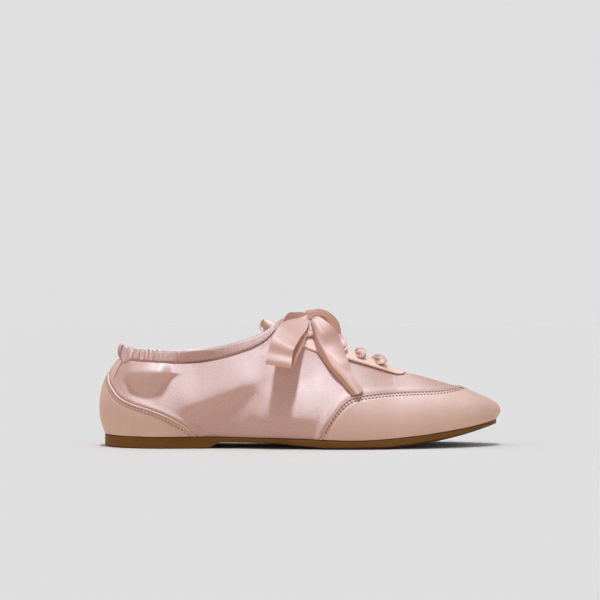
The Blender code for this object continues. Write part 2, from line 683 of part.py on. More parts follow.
def cut_eyelet_holes(pieces):
    """Round holes through the wall and its facing, one for each eyelet."""
    work = bmesh.new()
    for side in (LATERAL, MEDIAL):
        for x in EYELET_X:
            point, axis, _ = eyelet_frame(side, x)
            profile = ((-4.0, EYELET_BARREL + GAP), (4.0, EYELET_BARREL + GAP))
            rings = turned(point, axis, profile, EYELET_SIDES)
            low, high = ([work.verts.new(ring[k] * MM) for ring in rings] for k in (0, 1))
            work.faces.new(low[::-1])
            work.faces.new(high)
            for i in range(EYELET_SIDES):
                work.faces.new((low[i - 1], low[i], high[i], high[i - 1]))
    bmesh.ops.recalc_face_normals(work, faces=work.faces)
    mesh = bpy.data.meshes.new("eyelet_holes")
    work.to_mesh(mesh)
    work.free()
    cutter = bpy.data.objects.new("eyelet_holes", mesh)
    cutter.hide_render = True
    cutter.display_type = "WIRE"
    bpy.context.scene.collection.objects.link(cutter)
    for piece in pieces:
        hole = piece.modifiers.new("eyelet holes", "BOOLEAN")
        hole.object = cutter
        hole.solver = "EXACT"


def tube_rings(path, radii, sides):
    """Round rings along a path, with the rings' first axis kept level."""
    along = unit(np.gradient(path, axis=0))
    across = unit(np.cross(along, (0.0, 0.0, 1.0)))
    over = np.cross(across, along)
    turns = np.linspace(0, 2 * math.pi, sides, endpoint=False)
    return [
        np.array([p + r * (a * math.cos(t) + o * math.sin(t)) for t in turns])
        for p, r, a, o in zip(path, radii, across, over)
    ]


def make_lace_bars(finish):
    """Gathered ribbon over the tongue: a straight bar from each eyelet to its pair."""
    lift = 4.6 * GAP + OVERLAY + EYELET_THICK + LACE_THICK / 2
    share = np.linspace(0, 1, LACE_RINGS)[:, None]
    radii = LACE_THICK / 2 + (LACE_PUFF - LACE_THICK) / 2 * np.abs(np.sin(2 * math.pi * share[:, 0]))
    for number, x in enumerate(EYELET_X, 1):
        frames = [eyelet_frame(side, x) for side in (LATERAL, MEDIAL)]
        start, end = (point + axis * lift for point, axis, _ in frames)
        path = (1 - share) * start + share * end
        rise = np.interp(x, (EYELET_X[-1], EYELET_X[0]), LACE_RISE[::-1])
        path[:, 2] += rise * (4 * share * (1 - share))[:, 0] ** LACE_FLAT
        ring_solid(f"lace_bar_{number}", tube_rings(path, radii, LACE_SIDES), finish)


# ---------------------------------------------------------------- bow
def band(name, table, finish, count):
    """A flat band along a smooth line, with its own width and turn at each point."""
    line = smooth_line(table, count)
    path, wide, towards = line[:, :3], line[:, 3:4], line[:, 4:7]
    along = unit(np.gradient(path, axis=0))
    across = unit(towards - along * np.sum(towards * along, axis=1, keepdims=True))
    face = np.cross(along, across) * (RIBBON_THICK / 2)
    across = across * wide / 2
    rings = [
        np.array([p - a - f, p + a - f, p + a + f, p - a + f])
        for p, a, f in zip(path, across, face)
    ]
    return ring_solid(name, rings, finish)


def mirrored(table, middle):
    rows = np.array(table, float)
    rows[:, 1] = 2 * middle - rows[:, 1]
    rows[:, 5] *= -1
    return rows


def make_bow(finish):
    x, y, z = KNOT_AT
    work = bmesh.new()
    bmesh.ops.create_uvsphere(work, u_segments=12, v_segments=8, radius=0.5)
    points = [np.array(v.co) * KNOT_SIZE + (x, y, z) for v in work.verts]
    faces = [tuple(v.index for v in f.verts) for f in work.faces]
    work.free()
    add_object("bow_knot", points, faces, finish, 70)
    band("bow_loop_lateral", BOW_LOOP, finish, LOOP_RINGS)
    band("bow_tail_lateral", BOW_TAIL, finish, TAIL_RINGS)
    band("bow_loop_medial", mirrored(BOW_FAR_LOOP, y), finish, LOOP_RINGS)
    band("bow_tail_medial", mirrored(BOW_FAR_TAIL, y), finish, TAIL_RINGS)


def clear_scene():
    for found in list(bpy.data.objects):
        bpy.data.objects.remove(found)


def main():
    clear_scene()
    satin = material("satin", SATIN_PINK, 0.45)
    leather = material("leather", PEACH_LEATHER, 0.6)
    ribbon = material("ribbon", RIBBON_PINK, 0.4)
    lining = material("lining", LINING_BLUSH, 0.8)
    gum = material("gum_rubber", GUM_RUBBER, 0.55)
    metal = material("eyelet_metal", ROSE_METAL, 0.35, 1.0)
    make_outsole(gum)
    make_insole(lining)
    upper = make_upper(satin)
    make_toe_cap(leather)
    make_heel_counter(leather)
    make_heel_tape(satin)
    eyestay = make_eyestay(leather)
    make_tongue(leather)
    make_collar(satin)
    cut_eyelet_holes((upper, eyestay))
    make_eyelets(metal)
    make_lace_bars(ribbon)
    make_bow(ribbon)


main()
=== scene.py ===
# %% [markdown]
# # A ballet sneaker, dressed around its solids
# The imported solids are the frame: they give every place and size. This lesson makes
# what the eye sees on them - satin with its folds, leather overlays with their seams,
# a gathered collar, a ribbon run through its eyelets and tied in a bow, a gum sole.
# Sizes are in millimetres in the tables and become metres when a mesh is made.
# +X runs from heel to toe, -Y is the outer side of this right shoe, +Z is up.

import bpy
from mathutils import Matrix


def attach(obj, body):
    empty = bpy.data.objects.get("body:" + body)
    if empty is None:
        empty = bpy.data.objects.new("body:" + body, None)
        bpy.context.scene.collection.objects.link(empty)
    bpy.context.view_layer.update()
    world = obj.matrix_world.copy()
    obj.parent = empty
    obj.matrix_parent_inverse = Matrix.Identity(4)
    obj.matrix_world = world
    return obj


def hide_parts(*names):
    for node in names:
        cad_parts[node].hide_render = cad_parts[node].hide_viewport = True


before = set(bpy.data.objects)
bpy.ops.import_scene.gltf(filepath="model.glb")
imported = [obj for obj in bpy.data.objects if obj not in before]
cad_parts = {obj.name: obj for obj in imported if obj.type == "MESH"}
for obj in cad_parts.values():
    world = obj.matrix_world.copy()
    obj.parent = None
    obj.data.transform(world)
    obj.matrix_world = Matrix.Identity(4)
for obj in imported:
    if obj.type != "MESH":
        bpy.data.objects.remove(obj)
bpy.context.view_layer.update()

import math

import bmesh
import bpy
import numpy as np

MM = 0.001
LATERAL, MEDIAL = -1, 1


def placed(name, data):
    """A new object in the scene, at the origin."""
    made = bpy.data.objects.new(name, data)
    bpy.context.scene.collection.objects.link(made)
    return made


# %% [markdown]
# ## Camera
# The shoe is seen exactly from its outer side by a long lens a little above the
# middle of its height, so that nothing looks stretched and the two sides of the
# collar nearly cover each other.

# %% Camera
CAMERA_AT = (0.0, -1300.0, 92.5)  # in front of the outer side
VIEW_WIDE = 381.6  # width of the view in the shoe's middle plane
SENSOR = 36.0

camera = placed("camera", bpy.data.cameras.new("camera"))
camera.location = [c * MM for c in CAMERA_AT]
camera.rotation_euler = (math.pi / 2, 0, 0)
camera.data.sensor_width = SENSOR
camera.data.lens = SENSOR * -CAMERA_AT[1] / VIEW_WIDE
bpy.context.scene.camera = camera
print(f"lens {camera.data.lens:.1f} mm")

# %% [markdown]
# ## Nodes
# Every look below is a small tree of nodes. One helper adds a node and feeds it; the
# others do sums, grays, and an ending that shows camera and shoe different things.

# %% Node helpers
def add_node(tree, kind, inputs=None, **settings):
    """A node with its settings; an input is a value or the output that feeds it."""
    node = tree.nodes.new(kind)
    for key, value in settings.items():
        setattr(node, key, value)
    for key, value in (inputs or {}).items():
        if isinstance(value, bpy.types.NodeSocket):
            tree.links.new(value, node.inputs[key])
        else:
            node.inputs[key].default_value = value
    return node


def math_node(tree, operation, *values):
    inputs = dict(enumerate(values))
    return add_node(tree, "ShaderNodeMath", inputs, operation=operation).outputs[0]


def gray(level):
    return (level, level, level, 1)


def seen_apart(tree, kind, for_shoe, for_camera):
    """Ends a tree with one look for the shoe and another for the camera."""
    path = add_node(tree, "ShaderNodeLightPath").outputs["Is Camera Ray"]
    looks = {"Fac": path, 1: for_shoe.outputs[0], 2: for_camera.outputs[0]}
    mix = add_node(tree, "ShaderNodeMixShader", looks)
    add_node(tree, kind, {"Surface": mix.outputs[0]})


print("middle gray:", gray(0.5))

# %% [markdown]
# ## Light
# One soft lamp hangs almost straight overhead and a little towards the viewer, as it
# does over a shooting table: it draws the folds and the bow's long shadow. It has two
# shares, because satin is mostly gloss: the strong, cool one is seen by gloss and gives
# the folds their sheen, the weak one by matt colour. The sky is dimmer, brightest at
# both ends of the shoe; the camera sees it as a plain backdrop.

# %% Sky and lamp
BACKDROP_TONE = 0.745
LAMP_GLOSS, LAMP_BODY = 10.5, 1.15  # the lamp as gloss sees it, and as matt colour sees it
LAMP_SOFT = 6.0  # degrees across
LAMP_LEAN = 8.3  # degrees towards the viewer
LAMP_TINT = (0.96, 0.98, 1.12)  # cool daylight, of the share that gloss sees
SKY_FRONT, SKY_ENDS, SKY_TOP = 0.32, 0.88, 0.70  # brightness before, beside and above the shoe


def make_sky():
    world = bpy.data.worlds.new("studio sky")
    bpy.context.scene.world = world
    world.use_nodes = True
    tree = world.node_tree
    tree.nodes.clear()
    towards = add_node(tree, "ShaderNodeTexCoord").outputs["Generated"]
    split = add_node(tree, "ShaderNodeSeparateXYZ", {0: towards}).outputs
    value = SKY_FRONT  # grows with the square of the direction's share along each axis
    for axis, there in (("X", SKY_ENDS), ("Z", SKY_TOP)):
        square = math_node(tree, "MULTIPLY", split[axis], split[axis])
        value = math_node(tree, "MULTIPLY_ADD", square, there - SKY_FRONT, value)
    lit = add_node(tree, "ShaderNodeBackground", {"Strength": value})
    seen = add_node(tree, "ShaderNodeBackground", {"Color": gray(BACKDROP_TONE)})
    seen_apart(tree, "ShaderNodeOutputWorld", lit, seen)


def make_lamp(name, strength):
    """One share of the overhead lamp; both shares stand in the same place."""
    lamp = bpy.data.lights.new(name, "SUN")
    lamp.energy = strength
    lamp.angle = math.radians(LAMP_SOFT)
    light = placed(name, lamp)
    light.rotation_euler = (math.radians(LAMP_LEAN), 0, 0)
    return light


make_sky()
gloss = make_lamp("overhead lamp, gloss", LAMP_GLOSS)
gloss.visible_diffuse = False
gloss.data.color = LAMP_TINT
make_lamp("overhead lamp, body", LAMP_BODY).visible_glossy = False
bpy.context.scene.view_settings.view_transform = "Standard"
print("sky and one overhead lamp")

# %% [markdown]
# ## Floor
# A pale floor runs into the backdrop. For the shoe it is a little lighter than for the
# camera and glows faintly, like a light table, so the shoe's lower side isn't dark.

# %% Floor
FLOOR_HALF = 6.0  # metres
FLOOR_SEEN, FLOOR_GIVES = 0.837, 1.0  # its colour for the camera, and for all else
FLOOR_GLOW = 0.04


def make_floor():
    corners = [(x * FLOOR_HALF, y * FLOOR_HALF, 0) for x, y in ((-1, -1), (1, -1), (1, 1), (-1, 1))]
    mesh = bpy.data.meshes.new("floor")
    mesh.from_pydata(corners, [], [(0, 1, 2, 3)])
    floor = placed("floor", mesh)
    pale = bpy.data.materials.new("pale floor")
    pale.use_nodes = True
    tree = pale.node_tree
    tree.nodes.clear()
    looks = []
    for level, glow in ((FLOOR_GIVES, FLOOR_GLOW), (FLOOR_SEEN, 0.0)):
        matt = add_node(tree, "ShaderNodeBsdfDiffuse", {"Color": gray(level)}).outputs[0]
        light = add_node(tree, "ShaderNodeEmission", {"Strength": glow}).outputs[0]
        looks.append(add_node(tree, "ShaderNodeAddShader", {0: matt, 1: light}))
    seen_apart(tree, "ShaderNodeOutputMaterial", *looks)
    mesh.materials.append(pale)


make_floor()
print(f"floor {2 * FLOOR_HALF:.0f} m wide")

# %% [markdown]
# ## Curves
# The shoe's lines are a few measured points each. A natural spline runs smoothly
# through them, and a soft step fades one shape into the next.

# %% Curves
def spline(knots, values):
    """A natural cubic spline through the values, as a function of an array."""
    knots, values = np.asarray(knots, float), np.asarray(values, float)
    gaps = np.diff(knots)
    slopes = np.diff(values) / gaps
    count = len(knots)
    matrix, right = np.eye(count), np.zeros(count)
    for i in range(1, count - 1):
        matrix[i, i - 1 : i + 2] = gaps[i - 1], 2 * (gaps[i - 1] + gaps[i]), gaps[i]
        right[i] = 6 * (slopes[i] - slopes[i - 1])
    bends = np.linalg.solve(matrix, right)

    def at(where):
        where = np.asarray(where, float)
        i = np.clip(np.searchsorted(knots, where) - 1, 0, count - 2)
        left, ahead, gap = where - knots[i], knots[i + 1] - where, gaps[i]
        return (
            (bends[i] * ahead**3 + bends[i + 1] * left**3) / (6 * gap)
            + (values[i] / gap - bends[i] * gap / 6) * ahead
            + (values[i + 1] / gap - bends[i + 1] * gap / 6) * left
        )

    return at


def arc(rows):
    """How far along a line of points each of them lies."""
    steps = np.linalg.norm(np.diff(rows, axis=0).reshape(len(rows) - 1, -1), axis=1)
    return np.concatenate([[0], np.cumsum(steps)])


def smooth_line(rows, count=300):
    """Points along a smooth curve through rows of coordinates, evenly spread by chord."""
    rows = np.asarray(rows, float)
    along = arc(rows)
    even = np.linspace(0, along[-1], count)
    flat = rows.reshape(len(rows), -1)
    made = np.stack([spline(along, flat[:, k])(even) for k in range(flat.shape[1])], axis=1)
    return made.reshape(count, *rows.shape[1:])


def smoothstep(value, low, high):
    share = np.clip((np.asarray(value, float) - low) / (high - low), 0, 1)
    return share * share * (3 - 2 * share)


def running(grid):
    """How far along its own row each point of a grid lies."""
    steps = np.linalg.norm(np.diff(grid, axis=1), axis=2)
    return np.concatenate([np.zeros((len(grid), 1)), np.cumsum(steps, axis=1)], axis=1)


def eased(rows, times):
    """Rows drawn towards their neighbours a few times; the first and the last stay."""
    rows = rows.copy()
    for _ in range(times):
        rows[1:-1] = (rows[:-2] + 2 * rows[1:-1] + rows[2:]) / 4
    return rows


def unit(vector):
    return vector / (np.linalg.norm(vector, axis=-1, keepdims=True) + 1e-12)


def bell(distance, width):
    """1 at the middle of a ridge, fading on both sides."""
    return np.exp(-((distance / width) ** 2))


print("a bell half a width out:", bell(0.5, 1.0).round(2))

# %% [markdown]
# ## The last
# A shoe is built over a last, and so is this one: sections of it are given from heel
# to toe, and a smooth surface runs through them. s goes from heel to toe, v from the
# feather edge (where sole and upper meet) to the top line. The same surface shaped
# the solids, so everything that lies on it here fits them.

# %% Table of the last
WALL, OVERLAY = 1.6, 1.0  # thickness of the upper and of a leather overlay
GAP, SEAT_GAP = 0.3, 0.4  # air between layers, and between the upper and the sole
THROAT_TOP, THROAT_END, EYESTAY_END = -11.0, 58.0, 66.5  # x along the top line
THROAT_CLOSES = (THROAT_END - 10, THROAT_END + 3)  # x where both top lines become one ridge
CAP_RIDGE_X = 103.0  # where the toe cap's edge crosses the vamp's ridge
# Plan and height of the feather edge and of the top line, and how far the wall bulges
# out and up from each of them.
LAST_COLUMNS = (
    "x", "mid", "half", "z",
    "top_x", "top_mid", "top_half", "top_z",
    "low_out", "low_up", "high_out", "high_down",
)
LAST = (
    (-122.6, 0.8, 0.0, 8.0, -114.5, 0.8, 0.0, 55.4, 7.5, 17.0, 11.0, 12.0),
    (-116.5, 0.5, 15.5, 7.8, -110.0, 0.5, 10.5, 54.8, 7.0, 17.0, 9.5, 13.0),
    (-97.0, -0.2, 26.4, 7.4, -94.0, -0.4, 21.0, 53.2, 6.0, 18.0, 6.0, 16.0),
    (-62.0, -1.2, 25.2, 7.5, -62.0, -1.2, 24.8, 53.4, 5.5, 18.0, 3.5, 17.0),
    (-32.0, -4.2, 24.4, 7.0, -36.0, -3.2, 24.3, 59.6, 6.5, 20.0, 5.0, 18.0),
    (-14.0, -5.0, 26.8, 6.8, -20.0, -2.7, 19.0, 68.0, 6.5, 21.0, 9.0, 16.0),
    (-2.0, -5.0, 29.2, 6.6, -11.0, -2.2, 12.0, 75.2, 6.0, 22.0, 12.0, 13.0),
    (12.0, -4.0, 32.6, 6.2, 6.0, -1.8, 8.8, 69.4, 5.0, 22.0, 14.0, 10.5),
    (30.0, -1.8, 36.6, 5.7, 27.0, -0.9, 6.8, 61.8, 4.0, 22.0, 15.5, 9.0),
    (45.0, 0.4, 37.6, 6.0, 43.0, 0.2, 4.8, 55.8, 4.0, 20.0, 16.5, 6.5),
    (62.0, 2.2, 36.0, 7.2, 58.0, 1.4, 0.0, 49.4, 3.5, 19.0, 17.5, 3.0),
    (80.0, 3.8, 32.6, 9.1, 72.0, 2.5, 0.0, 45.4, 3.5, 17.0, 18.5, 1.0),
    (98.0, 5.2, 26.4, 11.7, 86.0, 3.7, 0.0, 41.6, 4.0, 14.0, 17.0, 0.0),
    (114.0, 6.2, 17.0, 14.6, 98.0, 4.6, 0.0, 37.9, 5.0, 10.5, 15.5, 0.0),
    (124.0, 6.8, 0.0, 17.0, 107.4, 5.2, 0.0, 34.1, 7.4, 8.2, 15.4, 0.0),
)
CROSSING_AT_HEEL, CROSSING_AT_TOE = ("half", "top_half"), ("half",)  # widths that end at 0
MIRRORED = 4  # rows repeated past each end


def last_columns():
    """Each column as a smooth function of s, mirrored past both ends so that they are round."""
    rows = np.array(LAST)
    along = arc(rows[:, [0, 2]])
    along /= along[-1]
    heel_rows, toe_rows = slice(MIRRORED, 0, -1), slice(-2, -2 - MIRRORED, -1)
    knots = np.concatenate([-along[heel_rows], along, 2 - along[toe_rows]])
    functions = {}
    for column, name in enumerate(LAST_COLUMNS):
        values = rows[:, column]
        heel = -1 if name in CROSSING_AT_HEEL else 1
        toe = -1 if name in CROSSING_AT_TOE else 1
        functions[name] = spline(
            knots, np.concatenate([heel * values[heel_rows], values, toe * values[toe_rows]])
        )
    return functions


COLUMN = last_columns()
print("last:", len(LAST), "sections of", len(LAST_COLUMNS), "measures")

# %% [markdown]
# ## The wall
# From feather edge to top line each column of the wall is one smooth arch: it leaves
# the sole outwards, bulges, and comes in again at the top. Behind the throat the top
# lines are the shoe's opening; in front of it both sides meet in the vamp's ridge.

# %% The wall
S_TABLE = np.linspace(0, 1, 2001)


def station_of_top(x):
    """The s whose top line lies at x."""
    return np.interp(x, COLUMN["top_x"](S_TABLE), S_TABLE)


def station_of_foot(x):
    """The s whose feather edge lies at x."""
    return np.interp(x, COLUMN["x"](S_TABLE), S_TABLE)


def foot_line(side, s):
    """Feather edge: points in plan and their outward normals."""
    step = 1e-4

    def plan(at):
        return np.stack([COLUMN["x"](at), COLUMN["mid"](at) + side * COLUMN["half"](at)], -1)

    run = plan(s + step) - plan(s - step)
    return plan(s), unit(side * np.stack([-run[..., 1], run[..., 0]], -1))


def base_wall(side, s, v):
    """The upper's outer face."""
    s, v = np.broadcast_arrays(np.asarray(s, float), np.asarray(v, float))
    foot, outward = foot_line(side, s)
    x = COLUMN["top_x"](s)
    half = np.where(x >= THROAT_END, 0.0, COLUMN["top_half"](s))
    top = np.stack([x, COLUMN["top_mid"](s) + side * half], -1)
    radial = unit(foot - top)
    share = smoothstep(top[..., :1], 0.0, THROAT_END)
    spread = unit((1 - share) * outward + share * radial)
    before = np.clip(s, 0.02, 0.98)
    slope = (COLUMN["top_z"](before + 0.01) - COLUMN["top_z"](before - 0.01)) / (
        COLUMN["top_x"](before + 0.01) - COLUMN["top_x"](before - 0.01)
    )
    closed = smoothstep(x, *THROAT_CLOSES)
    out = COLUMN["high_out"](s)
    high_z = COLUMN["top_z"](s) - COLUMN["high_down"](s) + closed * slope * spread[..., 0] * out

    def lifted(plan, z):
        return np.concatenate([plan, z[..., None]], -1)

    corners = (
        lifted(foot, COLUMN["z"](s)),
        lifted(foot + COLUMN["low_out"](s)[..., None] * outward, COLUMN["z"](s) + COLUMN["low_up"](s)),
        lifted(top + out[..., None] * spread, high_z),
        lifted(top, COLUMN["top_z"](s)),
    )
    v = v[..., None]
    weights = ((1 - v) ** 3, 3 * v * (1 - v) ** 2, 3 * v**2 * (1 - v), v**3)
    return sum(weight * corner for weight, corner in zip(weights, corners))


def wall_normal(side, s, v):
    """Outward unit normal of the upper's face."""
    step = 1e-3
    s, v = np.broadcast_arrays(np.asarray(s, float), np.minimum(v, 0.985))
    along = base_wall(side, s + step, v) - base_wall(side, s - step, v)
    up = base_wall(side, s, v + step) - base_wall(side, s, v - step)
    return unit(side * np.cross(up, along))


def wall(side, s, v, off=0.0):
    """A point of the upper's face, moved off it along its normal."""
    return base_wall(side, s, v) + np.asarray(off)[..., None] * wall_normal(side, s, v)


for end, s in (("heel", 0.0), ("toe", 1.0)):
    print("wall:", end, "at", base_wall(LATERAL, s, 0.0).round(1))

# %% [markdown]
# ## Measuring on the wall
# A maker measures on the surface: so many millimetres below the top line, or along a
# seam drawn on the side. These helpers turn such measures into v.

# %% Measures on the wall
def columns_of(side, stations, count=241):
    """Columns of the wall: v samples, points, and how far up its column each point lies."""
    samples = np.linspace(0, 1, count)
    points = base_wall(side, np.atleast_1d(stations)[:, None], samples[None, :])
    return samples, points, running(points)


def v_at_length(side, stations, length_of):
    """The v at a length up each column; length_of turns a column's lengths into that one."""
    samples, _, long = columns_of(side, stations)
    return np.array([np.interp(length_of(i, row), row, samples) for i, row in enumerate(long)])


def v_below_top(side, stations, distance):
    """The v that lies this far from the top line, measured down the wall."""
    distance = np.broadcast_to(distance, np.shape(np.atleast_1d(stations)))
    v = v_at_length(side, stations, lambda i, row: row[-1] - distance[i])
    return v if np.ndim(stations) else float(v[0])


NEAR_TOP = 0.98  # a seam this high up has run out over the top line


def v_at_seam(side, stations, seam):
    """The v where each column first rises past the seam's side view, or 1."""
    samples, points, _ = columns_of(side, stations)
    above = points[..., 2] - np.interp(points[..., 0], seam[:, 0], seam[:, 1])
    first = np.argmax(above >= 0, axis=1)
    last_below = np.maximum(first - 1, 0)
    rows = np.arange(len(points))
    before = above[rows, last_below]
    v = samples[last_below] - before / (above[rows, first] - before + 1e-12) * samples[1]
    never = (above < 0).all(axis=1) | (v > NEAR_TOP)
    return np.where(above[:, 0] >= 0, 0.0, np.where(never, 1.0, v))


TABLE_S = np.linspace(0, 1, 801)


def at_stations(rule, low_s, high_s):
    """A rule of (side, stations), worked out once at a table of stations, read between them."""
    within = TABLE_S[(TABLE_S > low_s) & (TABLE_S < high_s)]
    stations = np.unique(np.concatenate([[low_s, high_s], within]))
    values = {side: rule(side, stations) for side in (LATERAL, MEDIAL)}
    return lambda side, s: np.interp(s, stations, values[side])


print(f"10 mm below the top line at mid shoe: v {v_below_top(LATERAL, 0.5, 10.0):.3f}")

# %% [markdown]
# ## From points to a piece
# Every shape below is a grid of points first. Grids that share a border are welded
# there, and each piece becomes a mesh with its finishes, its faces turned outwards.

# %% Mesh helpers
CLOTH_MAP = "cloth"


def grid_faces(rows, columns, start=0, flip=False):
    """Quads of a grid of points, row after row."""
    a = (np.arange(rows - 1)[:, None] * columns + np.arange(columns - 1)[None, :]).ravel() + start
    quads = np.stack([a, a + columns, a + columns + 1, a + 1], axis=1)
    return quads[:, ::-1] if flip else quads


def welded(points, quads, within=2e-3):
    """One point where several meet, and faces without the corners that this drops."""
    _, first, index = np.unique(
        np.round(points / within).astype(np.int64), axis=0, return_index=True, return_inverse=True
    )
    index = index.reshape(-1)
    faces = []
    for quad in index[quads].tolist():
        face = [i for n, i in enumerate(quad) if i != quad[n - 1]]
        if len(set(face)) == len(face) >= 3:
            faces.append(face)
    return first, faces


def add_piece(name, points, faces, materials, which=None, cloth=None, sharp=45):
    """A mesh object in metres, its faces outwards. cloth gives each corner of each face
    its place along and across the cloth, which the weave and its gloss follow. Edges
    bent by more than sharp degrees stay crisp."""
    mesh = bpy.data.meshes.new(name)
    mesh.from_pydata((np.asarray(points) * MM).tolist(), [], faces)
    if cloth is not None:
        places = (np.asarray(cloth, np.float32) * MM).ravel()
        mesh.uv_layers.new(name=CLOTH_MAP).data.foreach_set("uv", places)
    if which is not None:
        mesh.polygons.foreach_set("material_index", np.asarray(which, np.int32))
    work = bmesh.new()
    work.from_mesh(mesh)
    bmesh.ops.recalc_face_normals(work, faces=work.faces)
    if work.calc_volume(signed=True) < 0:
        bmesh.ops.reverse_faces(work, faces=work.faces)
    open_edges = sum(not edge.is_manifold for edge in work.edges)
    work.to_mesh(mesh)
    work.free()
    mesh.shade_smooth()
    mesh.set_sharp_from_angle(angle=math.radians(sharp))
    for finish in materials:
        mesh.materials.append(finish)
    print(f"{name}: {len(mesh.polygons)} faces, {open_edges} open edges")
    return placed(name, mesh)


print("cloth map:", CLOTH_MAP)

# %% [markdown]
# ## Skins, tubes and seats
# A sheet is a closed skin: an outer face, an inner face and a rim between them. A tube
# is closed at both ends. A seated piece has its body and the solids that it stands for.

# %% Skins, tubes and seats
def seat(piece, slot, *nodes):
    """The piece rides with the shoe and stands for its solids, which are hidden. slot is not used."""
    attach(piece, "root")
    if nodes:
        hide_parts(*nodes)
    return piece


def cloth_places(grid):
    """Distances along and across a grid of points."""
    along = arc(grid.mean(axis=1))[:, None] + 0 * grid[..., 0]
    return np.stack([along, running(grid)], axis=-1).reshape(-1, 2)


def skin(name, patches, materials, sharp=45):
    """A closed skin from patches of (outer grid, inner grid, flip). The second material,
    if there is one, goes on the inner face."""
    outer = np.concatenate([patch[0].reshape(-1, 3) for patch in patches])
    inner = np.concatenate([patch[1].reshape(-1, 3) for patch in patches])
    quads, start = [], 0
    for grid, _, flip in patches:
        quads.append(grid_faces(*grid.shape[:2], start, flip))
        start += grid.shape[0] * grid.shape[1]
    first, faces = welded(outer, np.concatenate(quads))
    outer, inner = outer[first], inner[first]
    places = np.concatenate([cloth_places(patch[0]) for patch in patches])[first]
    count = len(outer)
    edges = {(a, b) for face in faces for a, b in zip(face, face[1:] + face[:1])}
    rim = [[b, a, count + a, count + b] for a, b in sorted(edges) if (b, a) not in edges]
    back = [[count + i for i in reversed(face)] for face in faces]
    which = [0] * len(faces) + [len(materials) - 1] * len(back) + [0] * len(rim)
    every = faces + back + rim
    cloth = np.tile(places, (2, 1))[np.concatenate(every)]
    return add_piece(name, np.concatenate([outer, inner]), every, materials, which, cloth, sharp)


def tube(name, rings, materials, sharp=60):
    """A closed tube through rings of points."""
    count, around = rings.shape[:2]
    j = np.arange(around)
    after = (j + 1) % around
    along = arc(rings.mean(axis=1))
    ring = rings[count // 2]
    turn = np.linalg.norm(ring - np.roll(ring, 1, axis=0), axis=1).sum() / around
    faces, cloth = [], []
    for i in range(count - 1):
        a, b = i * around, (i + 1) * around
        faces += np.stack([a + j, a + after, b + after, b + j], axis=1).tolist()
        low, high = j * turn, (j + 1) * turn
        here, ahead = along[i] + 0 * low, along[i + 1] + 0 * low
        cloth.append(np.stack([here, low, here, high, ahead, high, ahead, low], axis=1).reshape(-1, 2))
    faces += [j[::-1].tolist(), (j + (count - 1) * around).tolist()]
    cloth.append(np.zeros((2 * around, 2)))
    return add_piece(name, rings.reshape(-1, 3), faces, materials, None, np.concatenate(cloth), sharp)


print("helpers ready: seat, skin and tube")

# %% [markdown]
# ## Effects that several finishes share
# A weave, a leather grain and a soft mottle turn up in more than one material, so each
# is a node group with named sockets. A group gives only colours, masks and heights
# that change over the surface; the shader and its fixed numbers stay in the material.
# First come the few steps from which all three are built.

# %% Steps of a shader group
def shader_group(name, inputs, outputs):
    """An empty shader node group: inputs are (name, kind, value), outputs (name, kind)."""
    group = bpy.data.node_groups.new(name, "ShaderNodeTree")
    for title, kind, value in inputs:
        socket = group.interface.new_socket(title, in_out="INPUT", socket_type="NodeSocket" + kind)
        if value is not None:
            socket.default_value = value
    for title, kind in outputs:
        group.interface.new_socket(title, in_out="OUTPUT", socket_type="NodeSocket" + kind)
    return group, group.nodes.new("NodeGroupInput"), group.nodes.new("NodeGroupOutput")


def noise(group, vector, scale, detail):
    """A soft random pattern that stays near 0.5."""
    inputs = {"Vector": vector, "Scale": scale, "Detail": detail}
    return add_node(group, "ShaderNodeTexNoise", inputs).outputs["Fac"]


def spread_and_tint(group, given, out, value, low, high):
    """Spreads a value from low and high to 0 and 1, and mixes the group's Color by it."""
    limits = {"Value": value, "From Min": low, "From Max": high}
    spread = add_node(group, "ShaderNodeMapRange", limits).outputs[0]
    colours = {0: spread, 6: given.outputs["Dark"], 7: given.outputs["Light"]}
    tint = add_node(group, "ShaderNodeMix", colours, data_type="RGBA")
    group.links.new(tint.outputs[2], out.inputs["Color"])
    return spread


print("ready: shader_group, noise, spread_and_tint")

# %% [markdown]
# ## The weave
# Satin's threads are too fine to count from a step away. What is left of them is a
# speckle, drawn out along the warp, in colour and in height.

# %% Weave
def weave_group():
    """Threads too fine to count: a speckle stretched along the warp, in colour and height."""
    group, given, out = shader_group(
        "woven speckle",
        [("Vector", "Vector", None), ("Threads", "Float", 1500.0), ("Stretch", "Float", 0.35),
         ("Light", "Color", (1, 1, 1, 1)), ("Dark", "Color", (0.9, 0.9, 0.9, 1))],
        [("Color", "Color"), ("Height", "Float")],
    )
    warp = {"X": given.outputs["Stretch"], "Y": 1.0, "Z": 1.0}
    squeeze = add_node(group, "ShaderNodeCombineXYZ", warp).outputs[0]
    vector = {0: given.outputs["Vector"], 1: squeeze}
    stretched = add_node(group, "ShaderNodeVectorMath", vector, operation="MULTIPLY").outputs[0]
    speckle = noise(group, stretched, given.outputs["Threads"], 2.0)
    spread = spread_and_tint(group, given, out, speckle, 0.32, 0.68)
    group.links.new(spread, out.inputs["Height"])
    return group


WEAVE = weave_group()
print("group:", WEAVE.name)

# %% [markdown]
# ## The grain and the mottle
# Split leather shows small soft cells. Rubber, metal and thread take the same group
# with other cell sizes. The mottle is the slow change of roughness that handling
# leaves on any surface.

# %% Grain and mottle
FINE_GRAIN, SLOW_TONE = 2600.0, 45.0  # scales of the finest grain and of the change of tone


